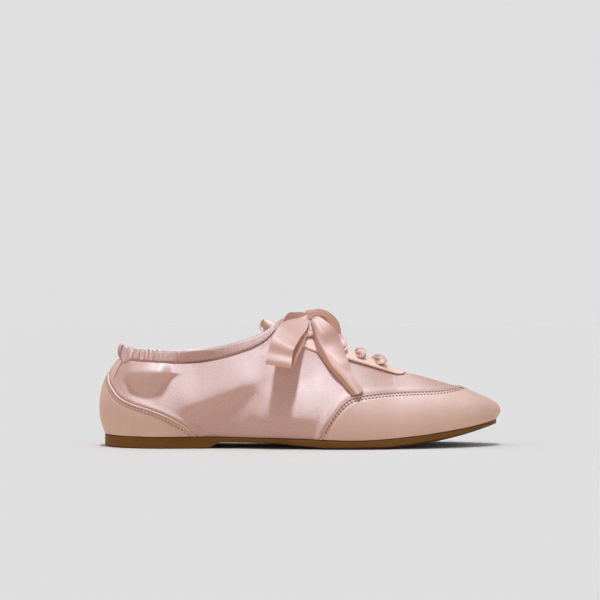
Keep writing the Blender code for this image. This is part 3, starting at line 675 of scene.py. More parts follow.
def grain_group():
    """Leather: small cells with soft valleys between them, and a slower change of tone."""
    group, given, out = shader_group(
        "leather grain",
        [("Vector", "Vector", None), ("Cells", "Float", 900.0),
         ("Light", "Color", (1, 1, 1, 1)), ("Dark", "Color", (0.85, 0.85, 0.85, 1))],
        [("Color", "Color"), ("Height", "Float")],
    )
    vector = given.outputs["Vector"]
    places = {"Vector": vector, "Scale": given.outputs["Cells"]}
    cells = add_node(group, "ShaderNodeTexVoronoi", places, feature="SMOOTH_F1").outputs["Distance"]
    fine = noise(group, vector, FINE_GRAIN, 2.0)
    slow = noise(group, vector, SLOW_TONE, 3.0)
    spread_and_tint(group, given, out, math_node(group, "ADD", slow, fine), 0.7, 1.3)
    group.links.new(math_node(group, "ADD", cells, fine), out.inputs["Height"])
    return group


def mottle_group():
    """Slow, soft change of roughness between Low and High."""
    group, given, out = shader_group(
        "soft mottle",
        [("Vector", "Vector", None), ("Size", "Float", 60.0),
         ("Low", "Float", 0.4), ("High", "Float", 0.5)],
        [("Value", "Float")],
    )
    slow = noise(group, given.outputs["Vector"], given.outputs["Size"], 4.0)
    limits = {"Value": slow, "From Min": 0.35, "From Max": 0.65}
    limits |= {"To Min": given.outputs["Low"], "To Max": given.outputs["High"]}
    spread = add_node(group, "ShaderNodeMapRange", limits).outputs[0]
    group.links.new(spread, out.inputs["Value"])
    return group


GRAIN, MOTTLE = grain_group(), mottle_group()
print("groups:", GRAIN.name, MOTTLE.name)

# %% [markdown]
# ## From a pattern to a finish
# One helper makes every material: the weave or the grain gives colour and height, the
# mottle gives roughness, and a few fixed numbers on the shader give the kind of gloss.
# On cloth the weave follows the cloth map, so it turns with the ribbon.

# %% Finish helper
SHADER_INPUTS = {
    "gloss": "Specular IOR Level", "bend": "IOR", "drawn_out": "Anisotropic",
    "turned": "Anisotropic Rotation", "sheen": "Sheen Weight", "metal": "Metallic",
}


def finish(name, group, light, dark, bump, rough, pattern=None, **shine):
    """A material that runs from dark to light; shine names the shader's own inputs."""
    made = bpy.data.materials.new(name)
    made.use_nodes = True
    tree = made.node_tree
    shader = tree.nodes["Principled BSDF"]
    place = add_node(tree, "ShaderNodeTexCoord").outputs["Object"]
    look = add_node(tree, "ShaderNodeGroup", node_tree=group)
    along = place
    if group == WEAVE:
        along = add_node(tree, "ShaderNodeUVMap", uv_map=CLOTH_MAP).outputs[0]
        threads = add_node(tree, "ShaderNodeTangent", direction_type="UV_MAP", uv_map=CLOTH_MAP)
        tree.links.new(threads.outputs[0], shader.inputs["Tangent"])
    tree.links.new(along, look.inputs["Vector"])
    look.inputs["Light"].default_value = (*light, 1.0)
    look.inputs["Dark"].default_value = (*dark, 1.0)
    for key, value in (pattern or {}).items():
        look.inputs[key].default_value = value
    mottle = add_node(tree, "ShaderNodeGroup", node_tree=MOTTLE)
    tree.links.new(place, mottle.inputs["Vector"])
    mottle.inputs["Low"].default_value, mottle.inputs["High"].default_value = rough
    height = {"Height": look.outputs["Height"], "Distance": bump * MM, "Strength": 1.0}
    relief = add_node(tree, "ShaderNodeBump", height)
    tree.links.new(look.outputs["Color"], shader.inputs["Base Color"])
    tree.links.new(mottle.outputs[0], shader.inputs["Roughness"])
    tree.links.new(relief.outputs[0], shader.inputs["Normal"])
    for key, value in shine.items():
        shader.inputs[SHADER_INPUTS[key]].default_value = value
    return made


print("finish helper sets:", ", ".join(SHADER_INPUTS.values()))

# %% [markdown]
# ## Cloth finishes
# Satin is woven so that its face is all long glossy threads: it looks pale where it
# catches light and deep where it doesn't. Its gloss is strong but wide, and drawn out
# along the threads. The collar's satin is the same cloth, coloured a shade deeper all
# over: painted shade for the collar's shaded band. The ribbon is finer; only its face
# is glossy, so its back has its own matt finish, and the fold down the outer tail a much
# paler copy of that back: painted light where the fold catches the lamp.

# %% Cloth
SATIN_WEAVE = {"Threads": 1000.0, "Stretch": 0.8}
RIBBON_WEAVE = {"Threads": 2200.0, "Stretch": 0.2}
ALONG_THREADS = {"gloss": 1.0, "turned": 0.25}  # a quarter turn

SATIN = finish(
    "satin", WEAVE, (0.67, 0.36, 0.28), (0.56, 0.278, 0.21), 0.02, (0.76, 0.82),
    SATIN_WEAVE, bend=1.95, drawn_out=0.8, **ALONG_THREADS,
)
# A darker copy of the satin for the whole collar tube: painted shade.
COLLAR_SATIN_PAINTED_SHADE = finish(
    "collar satin, painted shade", WEAVE, (0.61, 0.31, 0.24), (0.48, 0.22, 0.165), 0.03, (0.74, 0.82),
    SATIN_WEAVE, bend=1.8, drawn_out=0.8, **ALONG_THREADS,
)
RIBBON = finish(
    "ribbon satin", WEAVE, (0.69, 0.37, 0.285), (0.65, 0.335, 0.255), 0.008, (0.72, 0.78),
    RIBBON_WEAVE, bend=1.65, drawn_out=0.6, **ALONG_THREADS,
)
RIBBON_BACK = finish(
    "ribbon back", WEAVE, (0.66, 0.35, 0.25), (0.60, 0.31, 0.22), 0.008, (0.75, 0.85),
    RIBBON_WEAVE, gloss=0.3, bend=1.45,
)
# A much paler copy of the ribbon's back, for the band beside the outer tail's turned-under edge:
# painted light.
RIBBON_PAINTED_LIT_FOLD = finish(
    "ribbon back, painted lit fold", WEAVE, (0.92, 0.62, 0.50), (0.86, 0.57, 0.46), 0.008, (0.75, 0.85),
    RIBBON_WEAVE, gloss=0.4, bend=1.45,
)
TAPE = finish(
    "woven tape", WEAVE, (0.78, 0.50, 0.44), (0.70, 0.43, 0.37), 0.01, (0.70, 0.78),
    {"Threads": 1400.0, "Stretch": 0.6}, gloss=0.5,
)
LINING = finish(
    "lining", WEAVE, (0.80, 0.62, 0.53), (0.72, 0.53, 0.44), 0.05, (0.75, 0.85),
    {"Threads": 1100.0, "Stretch": 1.0}, gloss=0.25, sheen=0.2,
)
CLOTHS = (SATIN, COLLAR_SATIN_PAINTED_SHADE, RIBBON, RIBBON_BACK, RIBBON_PAINTED_LIT_FOLD, TAPE, LINING)
print("cloth:", ", ".join(made.name for made in CLOTHS))

# %% [markdown]
# ## Leather, rubber, metal and thread
# The peach leather is matt with a fine grain; the eyestay and tongue take a paler copy
# of it, painted light. The sole is gum rubber, slightly waxy; its tread pads and all
# that faces down are near-black, partly a darker rubber mix and partly painted shade.
# The eyelets are dull brass. The toe cap and the collar are sewn with a brown thread,
# coloured darker still as painted shade in the stitch holes and the seam; the heel
# counter with a paler one.

# %% Leather, rubber, metal and thread
LEATHER = finish(
    "peach leather", GRAIN, (0.72, 0.43, 0.32), (0.60, 0.34, 0.245), 0.09, (0.62, 0.70),
    gloss=1.0, bend=1.52,
)
# A paler copy of the peach leather for the eyestay and tongue: painted light.
LEATHER_PAINTED_LIGHT = finish(
    "peach leather, painted light", GRAIN, (0.94, 0.64, 0.51), (0.88, 0.59, 0.47), 0.05, (0.62, 0.70),
    gloss=1.0, bend=1.52,
)
GUM = finish(
    "gum rubber", GRAIN, (0.20, 0.082, 0.014), (0.15, 0.058, 0.009), 0.02, (0.45, 0.58),
    {"Cells": 500.0}, gloss=0.12,
)
# Near-black rubber for the tread, its pads and all faces that point down: partly a darker rubber,
# partly painted shade.
TREAD_RUBBER_AND_SHADE = finish(
    "tread rubber and painted underside shade", GRAIN, (0.075, 0.032, 0.010), (0.055, 0.024, 0.008), 0.02, (0.6, 0.7),
    {"Cells": 500.0}, gloss=0.1,
)
BRASS = finish(
    "dull brass", GRAIN, (0.27, 0.20, 0.13), (0.16, 0.115, 0.075), 0.01, (0.55, 0.65),
    {"Cells": 1500.0}, metal=1.0,
)
# Brown thread, darkened to stand for the shade in its holes and along the seam as well: painted shade.
THREAD_AND_SEAM_SHADE = finish(
    "sewing thread and painted seam shade", GRAIN, (0.26, 0.12, 0.075), (0.18, 0.08, 0.05), 0.02, (0.5, 0.6),
    {"Cells": 3000.0}, gloss=0.3,
)
PALE_THREAD = finish(
    "pale thread", GRAIN, (0.44, 0.25, 0.17), (0.32, 0.17, 0.11), 0.02, (0.5, 0.6),
    {"Cells": 3000.0}, gloss=0.3,
)
GRAINED = (LEATHER, LEATHER_PAINTED_LIGHT, GUM, TREAD_RUBBER_AND_SHADE, BRASS, THREAD_AND_SEAM_SHADE, PALE_THREAD)
print("grained:", ", ".join(made.name for made in GRAINED))

# %% [markdown]
# ## The bow
# The ribbon is 16.5 mm wide satin, one length through all the eyelets. What shows of
# each half is a loop and a tail, tied at the throat's upper end. A ribbon folds but
# hardly stretches, so it is laid here as rows of points across its width: where the
# row is straight the ribbon is flat, and where it bends the ribbon has a crease along
# its length. A loop's row has two points, its lower and its upper edge, out to the
# fold and back. A tail's row has up to four: left edge, ridge that faces out, crease
# and right edge. This is the outer half.

# %% Outer half of the bow
RIBBON_WIDE, RIBBON_THICK = 16.5, 0.5
KNOT_AT = (6.6, -2.2, 79.6)
LATERAL_LOOP = (
    ((5.8, -8.5, 78.7), (3.6, -7.5, 83.3)),
    ((5.1, -12.5, 76.1), (-0.1, -11.0, 81.3)),
    ((3.7, -17.0, 73.4), (-4.2, -15.5, 80.4)),
    ((1.6, -22.0, 70.8), (-8.9, -20.5, 79.2)),
    ((-0.5, -28.2, 67.9), (-12.9, -27.8, 76.3)),
    ((-2.3, -34.2, 64.6), (-15.7, -33.8, 72.3)),
    ((-3.9, -39.2, 61.5), (-17.9, -38.8, 66.5)),
    ((-4.8, -40.3, 57.3), (-19.6, -40.3, 61.0)),
    ((-5.2, -42.9, 53.6), (-20.7, -42.9, 56.4)),
    ((-5.3, -43.3, 51.6), (-21.1, -43.3, 54.2)),
    ((-5.2, -40.8, 50.6), (-20.7, -40.8, 53.0)),
    ((-4.0, -39.4, 51.5), (-19.6, -39.4, 53.8)),
    ((-2.3, -37.4, 55.2), (-17.8, -37.1, 58.4)),
    ((-0.2, -31.4, 59.6), (-15.1, -30.3, 64.2)),
    ((1.7, -25.3, 63.5), (-11.7, -24.3, 69.4)),
    ((3.6, -19.2, 68.4), (-7.4, -18.6, 73.7)),
    ((4.9, -13.6, 72.1), (-2.4, -13.2, 77.7)),
    ((5.8, -9.4, 75.5), (2.1, -9.0, 79.9)),
    ((6.5, -6.6, 78.0), (4.3, -6.4, 80.8)),
)
LATERAL_PASS = (  # through the knot
    ((7.0, -3.6, 78.4), (6.8, -3.6, 80.8)),
    ((7.9, -3.4, 78.4), (8.0, -3.4, 80.9)),
    ((8.2, -5.4, 78.4), (8.8, -5.4, 81.2)),
)
LATERAL_TAIL = (
    ((7.4, -8.0, 78.9), (7.4, -8.5, 79.5), (8.4, -9.0, 80.8), (10.0, -8.0, 82.0)),
    ((7.5, -11.2, 72.8), (8.8, -14.2, 73.4), (10.9, -15.6, 75.2), (15.6, -13.6, 79.7)),
    ((8.7, -14.5, 66.8), (11.1, -18.0, 68.3), (13.6, -18.6, 69.8), (21.5, -16.5, 74.4)),
    ((10.7, -19.0, 61.0), (13.9, -21.6, 62.8), (16.2, -20.0, 64.1), (24.9, -16.5, 68.7)),
    ((13.7, -22.0, 55.8), (17.0, -25.6, 57.1), (18.4, -24.6, 58.2), (27.4, -18.0, 61.6)),
    ((16.4, -24.2, 52.1), (19.4, -28.4, 52.7), (21.7, -26.6, 55.1), (29.0, -19.4, 56.8)),
    ((19.8, -26.2, 48.2), (22.6, -30.5, 49.0), (25.6, -28.0, 51.9), (30.6, -21.4, 52.9)),
    ((23.6, -28.4, 44.0), (26.4, -31.8, 46.2), (28.9, -29.6, 48.3), (31.1, -24.5, 49.3)),
    ((26.9, -30.4, 40.2), (29.5, -33.6, 42.7), (31.7, -31.2, 45.0), (32.9, -27.2, 45.0)),
    ((30.0, -32.8, 36.7), (33.2, -35.6, 38.3), (35.4, -32.9, 40.6), (36.3, -29.7, 40.4)),
    ((32.7, -34.6, 33.3), (36.5, -36.7, 34.5), (38.6, -34.2, 36.3), (39.3, -31.6, 36.4)),
)
print("outer half:", len(LATERAL_LOOP), "rows of loop,", len(LATERAL_TAIL), "of tail")

# %% [markdown]
# ## Inner half of the bow
# The inner half is tied the same way, and was never quite the outer one's mirror
# image: its loop stands up higher, and its tail leaves the knot forwards before it
# turns down the inner side.

# %% Inner half of the bow
MEDIAL_LOOP = (
    ((5.6, 3.0, 80.4), (3.6, 3.5, 84.4)),
    ((3.4, 7.0, 78.4), (-0.1, 12.0, 84.8)),
    ((1.4, 12.5, 76.4), (-3.7, 19.0, 84.6)),
    ((-0.2, 18.0, 73.8), (-6.6, 26.0, 84.4)),
    ((-1.8, 24.1, 70.2), (-9.9, 30.0, 81.2)),
    ((-2.4, 29.2, 65.2), (-12.5, 30.0, 75.3)),
    ((-3.4, 34.2, 59.9), (-14.8, 32.9, 68.4)),
    ((-4.4, 36.5, 56.0), (-16.8, 36.4, 61.2)),
    ((-4.7, 37.6, 52.0), (-17.8, 37.8, 56.3)),
    ((-4.8, 37.4, 49.9), (-18.0, 37.4, 53.7)),
    ((-4.7, 36.0, 49.1), (-17.4, 36.0, 52.7)),
    ((-3.5, 34.6, 50.2), (-16.4, 34.6, 54.1)),
    ((-2.1, 32.5, 54.1), (-14.8, 32.5, 58.7)),
    ((-0.2, 27.8, 58.8), (-12.2, 27.4, 64.6)),
    ((1.5, 22.5, 63.7), (-8.9, 22.6, 70.2)),
    ((3.4, 17.1, 69.0), (-5.3, 17.5, 74.8)),
    ((4.7, 11.5, 72.9), (-1.1, 12.0, 78.7)),
    ((5.9, 6.2, 76.5), (2.7, 6.5, 80.7)),
    ((6.5, 3.0, 78.5), (4.6, 3.2, 81.0)),
)
MEDIAL_PASS = (
    ((6.8, 1.0, 78.6), (6.2, 1.0, 80.9)),
    ((7.4, 0.0, 78.6), (7.4, 0.0, 80.9)),
)
MEDIAL_TAIL = (
    ((6.0, 0.5, 78.6), (4.9, -1.8, 80.4), (4.3, -1.4, 82.8), (4.0, 1.0, 84.2)),
    ((8.6, 7.5, 79.0), (8.2, -0.5, 82.0), (7.8, 1.6, 84.6), (7.4, 6.0, 86.0)),
    ((11.5, 12.5, 78.7), (11.2, 2.5, 82.5), (11.0, 6.0, 85.3), (11.2, 12.0, 86.6)),
    ((14.6, 17.0, 78.0), (14.5, 6.5, 81.9), (14.6, 11.0, 84.9), (15.0, 18.0, 86.1)),
    ((17.0, 16.0, 75.4), (17.6, 11.4, 79.4), (18.0, 17.0, 83.2), (18.6, 24.0, 84.5)),
    ((18.7, 16.5, 74.4), (21.7, 29.0, 82.2)),
    ((20.7, 20.6, 71.4), (24.3, 33.0, 79.3)),
    ((22.5, 25.5, 68.2), (26.0, 36.0, 75.2)),
    ((23.6, 29.5, 62.6), (27.0, 38.5, 70.2)),
    ((25.3, 33.0, 56.0), (28.7, 40.2, 64.3)),
    ((27.9, 36.0, 49.4), (31.7, 41.6, 57.4)),
    ((30.9, 38.0, 43.4), (35.0, 42.4, 50.5)),
    ((33.6, 39.5, 38.1), (37.6, 43.0, 44.5)),
)


print("inner half:", len(MEDIAL_LOOP), "rows of loop,", len(MEDIAL_TAIL), "of tail")

# %% [markdown]
# ## Lay the ribbon
# A smooth sheet goes through the rows of a half, loop, knot and tail in one piece. The
# knot squeezes the ribbon, so fine pleats run out from it and fade. The ribbon turns
# over inside the knot, so its face is on the outside of both loop and tail. The outer
# tail is folded under along its left edge, where the matt back shows.

# %% Ribbon helpers
def four_across(rows):
    """Rows of four points, each row given by all four or by its two edges."""
    share = np.array([0, 1 / 3, 2 / 3, 1])

    def spaced(row, k):
        return np.interp(share, np.linspace(0, 1, len(row)), [point[k] for point in row])

    return np.array([[spaced(row, k) for k in range(3)] for row in rows]).transpose(0, 2, 1)


def ribbon_sheet(rows, along=260, across=29):
    """A smooth grid through rows of four points, its creases slightly rounded."""
    lines = smooth_line(rows, along)
    wide = running(lines)
    grid = np.empty((along, across, 3))
    for i in range(along):
        even = np.linspace(0, wide[i, -1], across)
        for k in range(3):
            grid[i, :, k] = np.interp(even, wide[i], lines[i, :, k])
    return eased(grid.swapaxes(0, 1), 3).swapaxes(0, 1)


def grid_normals(grid):
    return unit(np.cross(np.gradient(grid, axis=0), np.gradient(grid, axis=1)))


FACE, BACK, PAINTED_LIT_FOLD = 0, 1, 2  # places of the ribbon's finishes
TURNED_UNDER = 0.25  # share of the outer tail's width that is folded under, from its left edge
PAINTED_LIT_SHARE, PAINTED_LIT_FROM = 0.2, (0.42, 0.6)  # width of the lit fold beside it, and where it begins


def show_back(piece, rows, columns, turn, turned_under, mirrored):
    """Gives each face of the strip its finish; row turn lies inside the knot. The
    mirrored half shows the other side, and both sides of its loop shine."""
    quads = (rows - 1) * (columns - 1)
    row, column = np.divmod(np.arange(quads), columns - 1)
    loop = row < turn
    under = ~loop & (column < turned_under * (columns - 1))
    shown = np.full(len(piece.data.polygons), FACE, np.int32)
    shown[:quads][(loop ^ mirrored) | under] = BACK
    shown[quads : 2 * quads][~(loop ^ mirrored) & (not mirrored)] = BACK
    # The band beside the turned-under edge takes the paler copy of the back: painted light.
    if turned_under:
        down = np.clip((row - turn) / (rows - turn), 0, 1)
        lit = turned_under + PAINTED_LIT_SHARE * smoothstep(down, *PAINTED_LIT_FROM)
        shown[:quads][~loop & ~under & (column < lit * (columns - 1))] = PAINTED_LIT_FOLD
    piece.data.polygons.foreach_set("material_index", shown)


print("turned under:", TURNED_UNDER * RIBBON_WIDE, "mm")

# %% [markdown]
# ## Two halves of the bow
# Each half becomes a thin closed strip. The line down its middle is worked out too,
# though nothing uses it.

# %% Make the ribbon
GATHER_REACH = 13.0  # mm from the knot over which the pleats fade
RIBBON_PLEATS = ((0.2, 7.5, 1.0), (0.1, 15.0, 0.0))  # height, radians over half the width, shift


def ribbon_half(name, tables, stands_for, turned_under=0.0, mirrored=False):
    """One half of the bow as a thin closed strip, with gathers near the knot."""
    grid = ribbon_sheet(np.concatenate([four_across(rows) for rows in tables]))
    middle = grid.mean(axis=1)
    near_knot = np.linalg.norm(middle - np.array(KNOT_AT), axis=1)
    u = np.linspace(-1, 1, grid.shape[1])[None, :]
    pleats = sum(high * np.cos(turns * u + shift) for high, turns, shift in RIBBON_PLEATS)
    pleats = bell(near_knot, GATHER_REACH)[:, None] * pleats * (1 - u**6)
    grid = grid + pleats[..., None] * grid_normals(grid)
    half = RIBBON_THICK / 2 * grid_normals(grid)
    finishes = [RIBBON, RIBBON_BACK, RIBBON_PAINTED_LIT_FOLD]
    piece = skin(name, [(grid + half, grid - half, False)], finishes, sharp=60)
    show_back(piece, *grid.shape[:2], int(np.argmin(near_knot)), turned_under, mirrored)
    seat(piece, "ribbon", *stands_for)
    path = smooth_line(middle[::6], 40)


ribbon_half(
    "ribbon_lateral", (LATERAL_LOOP, LATERAL_PASS, LATERAL_TAIL),
    ("bow_loop_lateral", "bow_tail_lateral"), turned_under=TURNED_UNDER,
)
ribbon_half(
    "ribbon_medial", (MEDIAL_LOOP, MEDIAL_PASS, MEDIAL_TAIL),
    ("bow_loop_medial", "bow_tail_medial"), mirrored=True,
)

# %% [markdown]
# ## Seams and edges of the overlays
# Toe cap and heel counter are cut along curves drawn on the side of the last, and the
# eyestay is a facing of even width round the throat. Each edge is kept as points in
# space: the satin puffs up beside it, the leather rolls over at it, and the stitches
# run at a set distance from it.

# %% Edges of the overlays
TOE_CAP_SEAM = smooth_line((
    (12.0, 4.0), (14.3, 10.8), (17.3, 16.5), (23.0, 24.6), (30.4, 31.0), (38.5, 33.2),
    (50.0, 34.3), (62.6, 34.8), (75.0, 35.1), (87.6, 35.3), (97.5, 36.2), (CAP_RIDGE_X, 36.9),
    (112.0, 40.0),
))
COUNTER_SEAM = smooth_line((
    (-132.0, 49.0), (-121.5, 48.0), (-119.8, 41.5), (-117.0, 36.6), (-113.5, 32.5),
    (-109.0, 29.7), (-103.0, 27.4), (-94.7, 24.9), (-86.4, 21.9), (-78.9, 18.4),
    (-72.2, 14.4), (-67.2, 10.4), (-62.7, 6.0),
))
EYESTAY_WIDE = 11.5
CAP_START, COUNTER_END = station_of_foot(12.0), station_of_foot(-62.7)  # where they meet the sole
THROAT_S, THROAT_END_S, EYESTAY_S = (
    station_of_top(x) for x in (THROAT_TOP, THROAT_END, EYESTAY_END)
)


def eyestay_rule(side, stations):
    past = np.clip((COLUMN["top_x"](stations) - THROAT_END) / (EYESTAY_END - THROAT_END), 0, 1)
    return v_below_top(side, stations, EYESTAY_WIDE * np.sqrt(1 - past**2))


cap_edge = at_stations(lambda side, s: v_at_seam(side, s, TOE_CAP_SEAM), CAP_START, 1.0)
counter_edge = at_stations(lambda side, s: v_at_seam(side, s, COUNTER_SEAM), 0.0, COUNTER_END)
eyestay_edge = at_stations(eyestay_rule, THROAT_S, EYESTAY_S)


def edge_points(edge, low_s, high_s, count=220):
    """Points of an overlay's edge on both sides of the shoe, where it is below the top line."""
    stations = np.linspace(low_s, high_s, count)
    lines = []
    for side in (LATERAL, MEDIAL):
        v = edge(side, stations)
        lines.append(base_wall(side, stations[v < 0.999], v[v < 0.999]))
    return lines


def squares_to(flat, dense):
    """Squared distances from points to a dense line, some thousand points at a time."""
    for start in range(0, len(flat), 4000):
        part = flat[start : start + 4000]
        yield ((part[:, None, :] - dense[None, :, :]) ** 2).sum(axis=2)


def distance_to(points, lines):
    """How far each point of a grid is from the nearest point of some lines."""
    flat = points.reshape(-1, 3)
    nearest = np.full(len(flat), np.inf)
    for line in lines:
        dense = smooth_line(line[:: max(1, len(line) // 100)], 320)
        squares = np.concatenate([block.min(axis=1) for block in squares_to(flat, dense)])
        nearest = np.minimum(nearest, squares)
    return np.sqrt(nearest).reshape(points.shape[:-1])


def place_along(points, line):
    """How far along a line its point nearest to each point of a grid lies."""
    dense = smooth_line(line[::4], 500)
    blocks = squares_to(points.reshape(-1, 3), dense)
    nearest = np.concatenate([block.argmin(axis=1) for block in blocks])
    return arc(dense)[nearest].reshape(points.shape[:-1])


CAP_LINES = edge_points(cap_edge, CAP_START, station_of_top(CAP_RIDGE_X))
COUNTER_LINES = edge_points(counter_edge, 0.0, COUNTER_END)
EYESTAY_LINES = edge_points(eyestay_edge, THROAT_S, EYESTAY_S)
print("edges:", [len(line) for line in CAP_LINES + COUNTER_LINES + EYESTAY_LINES])

# %% [markdown]
# ## Folds of the satin
# A soft shoe never stands smooth. The main folds are listed: each is a height
# (a ridge when positive, a trough when negative), how far it fades above and below its
# line, and the line's x and z on the side of the shoe. They bend the wall by less than
# two millimetres, enough for satin to turn from pale to deep.

# %% Fold tables
LATERAL_FOLDS = (
    (1.6, 11.0, 5.5, (
        (-80, 23.5), (-70, 27.0), (-60, 30.6), (-49, 34.8), (-38, 39.0), (-28, 43.4), (-18, 49.5))),
    (-1.3, 7.0, 9.0, (
        (-76, 13.0), (-62, 19.0), (-50, 23.5), (-39, 28.0), (-31, 32.5), (-24, 38.0))),
    (1.5, 12.0, 7.0, ((-34, 15.0), (-22, 18.5), (-8, 20.5), (6, 21.5), (17, 21.0))),
    (-0.5, 5.0, 5.0, ((-20, 38.0), (-8, 40.0), (4, 43.0), (16, 44.0))),
    (0.5, 4.0, 6.0, ((-30, 56.0), (-18, 59.0), (-8, 63.0))),
)
MEDIAL_FOLDS = (
    (1.6, 9.0, 6.0, ((-84, 25.0), (-72, 27.4), (-58, 33.0), (-46, 38.5), (-36, 45.0))),
    (-1.3, 7.0, 7.0, ((-74, 15.0), (-58, 20.5), (-44, 27.0), (-34, 34.0))),
    (1.3, 11.0, 7.0, ((-34, 17.0), (-18, 20.5), (-2, 22.5), (12, 22.0))),
    (-0.7, 5.0, 5.0, ((-26, 36.0), (-12, 40.0), (2, 43.0), (14, 43.0))),
    (0.5, 4.0, 6.0, ((-28, 56.0), (-16, 60.0), (-6, 64.0))),
)
FOLD_ENDS = 0.22  # share of a fold's line over which it rises from nothing at each end


def fold_height(points, folds):
    """The height of all the folds at a grid of points, from their side view."""
    x, z = points[..., 0].ravel(), points[..., 2].ravel()
    total = np.zeros(len(x))
    for height, above, below, line in folds:
        path = smooth_line(line, 60)
        run = np.gradient(path, axis=0)
        run /= np.linalg.norm(run, axis=1, keepdims=True)
        dx, dz = x[:, None] - path[None, :, 0], z[:, None] - path[None, :, 1]
        apart = dx**2 + dz**2
        nearest = np.argmin(apart, axis=1)
        rows = np.arange(len(x))
        # Positive above the line, for a line that runs towards the toe.
        signed = run[nearest, 0] * dz[rows, nearest] - run[nearest, 1] * dx[rows, nearest]
        reach = np.where(signed > 0, above, below)
        far = np.sqrt(apart[rows, nearest])
        share = nearest / (len(path) - 1)
        ends = smoothstep(share, 0.0, FOLD_ENDS) * smoothstep(1 - share, 0.0, FOLD_ENDS)
        total += height * bell(far, reach) * ends
    return total.reshape(points.shape[:-1])


print("folds:", len(LATERAL_FOLDS), "outside,", len(MEDIAL_FOLDS), "inside")

# %% [markdown]
# ## Sag below the collar
# Behind the ankle the satin is loose. It stands out about six millimetres just under
# the binding, falls inwards from there, and turns out again along a curved lower line,
# given here as x, upper z and lower z.

# %% Sag
SAG_LINE = (
    (-113.0, 42.5, 41.5), (-106.8, 44.2, 38.6), (-102.5, 45.0, 35.0), (-98.7, 45.5, 32.9),
    (-95.0, 45.9, 32.2), (-91.3, 45.9, 33.4), (-86.9, 45.9, 36.8), (-83.2, 46.0, 40.9),
    (-79.5, 46.2, 45.0), (-76.0, 46.6, 46.5),
)
SAG_OUT, SAG_IN, SAG_RETURN = 6.2, 0.9, 9.0  # stands out, falls in, and how soon it comes back
SAG_DEPTHS = (-4.0, 10.0)  # depths of the sag from which it begins and is full
SAG_BACK, SAG_FRONT = (-113.0, -104.0), (-72.0, -84.0)  # x between which it rises at each end
OVER_COLLAR = 10.0  # how far above the upper line it fades


def sag_height(points):
    """Height of the sag at a grid of points, from their side view."""
    x, z = points[..., 0], points[..., 2]
    line = smooth_line(SAG_LINE, 120)
    high = np.interp(x, line[:, 0], line[:, 1])
    low = np.interp(x, line[:, 0], line[:, 2])
    depth = np.maximum(high - low, 1.0)
    strength = smoothstep(depth, *SAG_DEPTHS) * smoothstep(x, *SAG_BACK)
    strength = strength * smoothstep(x, *SAG_FRONT)
    share = (high - z) / depth
    fall = 0.6 * np.clip(share, 0, 1) + 0.4 * smoothstep(share, -0.15, 1.1)
    under = smoothstep(low - z, -0.8, SAG_RETURN)
    above = smoothstep(z - high, 0.0, OVER_COLLAR)
    return strength * (SAG_OUT * (1 - fall) * (1 - above) - SAG_IN * fall * (1 - under))


print(f"sag: {SAG_OUT} mm out, {SAG_IN} mm in")

# %% [markdown]
# ## Skins on the last
# The upper and its overlays all lie on the last, at their own distance from it. Both
# sides are made apart and then joined: at the heel, the toe and along the ridge of the
# vamp, the two grids get the same points.

# %% Laid skins
def shared_place(s, v):
    """Where the two sides of the shoe are one: at the heel, the toe and the ridge."""
    on_ridge = (v > 1 - 1e-9) & (COLUMN["top_x"](s) >= THROAT_END - 1e-6)
    return (s <= 0) | (s >= 1) | on_ridge


def both_sides(s, v_pair, off_pair):
    """The wall's points on both sides at some offsets, made one where the sides meet."""
    sides = [wall(side, s, v, off) for side, v, off in zip((LATERAL, MEDIAL), v_pair, off_pair)]
    middle = (sides[0] + sides[1]) / 2
    shared = shared_place(s, v_pair[0]) & shared_place(s, v_pair[1])
    return [np.where(shared[..., None], middle, points) for points in sides]


def laid_skin(name, stations, v_pair, outer_pair, inner_pair, materials, **more):
    """A closed skin on the wall, on both sides of the shoe."""
    s = np.broadcast_to(stations[:, None], v_pair[0].shape)
    outer, inner = both_sides(s, v_pair, outer_pair), both_sides(s, v_pair, inner_pair)
    return skin(name, [(outer[0], inner[0], True), (outer[1], inner[1], False)], materials, **more)


def merged_stations(*parts):
    """Stations from several ranges, in order and without doubles."""
    return np.unique(np.round(np.concatenate(parts), 6))


print("at the toe both sides are one:", bool(shared_place(1.0, 0.5)))

# %% [markdown]
# ## Vamp and throat
# Satin stretched over the vamp rounds its ridge, and where the two edges of the throat
# meet it eases from one slope into the other. Both are small heights over the last.

# %% Ridge and throat
RIDGE_ROUND, RIDGE_FADE = 4.5, 14.0  # how wide the ridge is rounded, and how soon that ends
THROAT_EASE, EASE_ROUNDS = 11.0, 50  # how far along the shoe the bend is eased, and how much


def rounded_ridge(side, stations, base):
    """Height that rounds the crease down the middle of the vamp, its top left in place."""
    ridge, normal = base[:, -1], wall_normal(side, stations, 1.0)
    slope = np.clip(side * normal[:, 1] / np.maximum(normal[:, 2], 0.2), 0, 1)[:, None]
    away = np.abs(base[..., 1] - np.interp(base[..., 0], ridge[:, 0], ridge[:, 1]))
    height = slope * (away - np.sqrt(away**2 + RIDGE_ROUND**2) + RIDGE_ROUND)
    return height * bell(away, RIDGE_FADE) * (COLUMN["top_x"](stations)[:, None] >= THROAT_END)


def eased_throat(side, stations, v, base):
    """Height that eases the wall's bend where the throat's two edges meet."""
    near = bell(COLUMN["top_x"](stations) - THROAT_END, THROAT_EASE)[:, None]
    moved = eased(base, EASE_ROUNDS) - base
    return near * (moved * wall_normal(side, stations[:, None], v)).sum(axis=-1)


print(f"ridge rounded over {RIDGE_ROUND} mm, throat eased over {THROAT_EASE} mm")

# %% [markdown]
# ## The upper
# Quarters and vamp are one satin sheet over foam, closed at the toe and the heel. It
# is laid on the last as a fine grid and bent by its folds, but lies flat under the
# overlays. Beside their edges the foam puffs it up a little, and along the collar it
# ripples where the binding gathers it. The lining follows at an even distance inside.

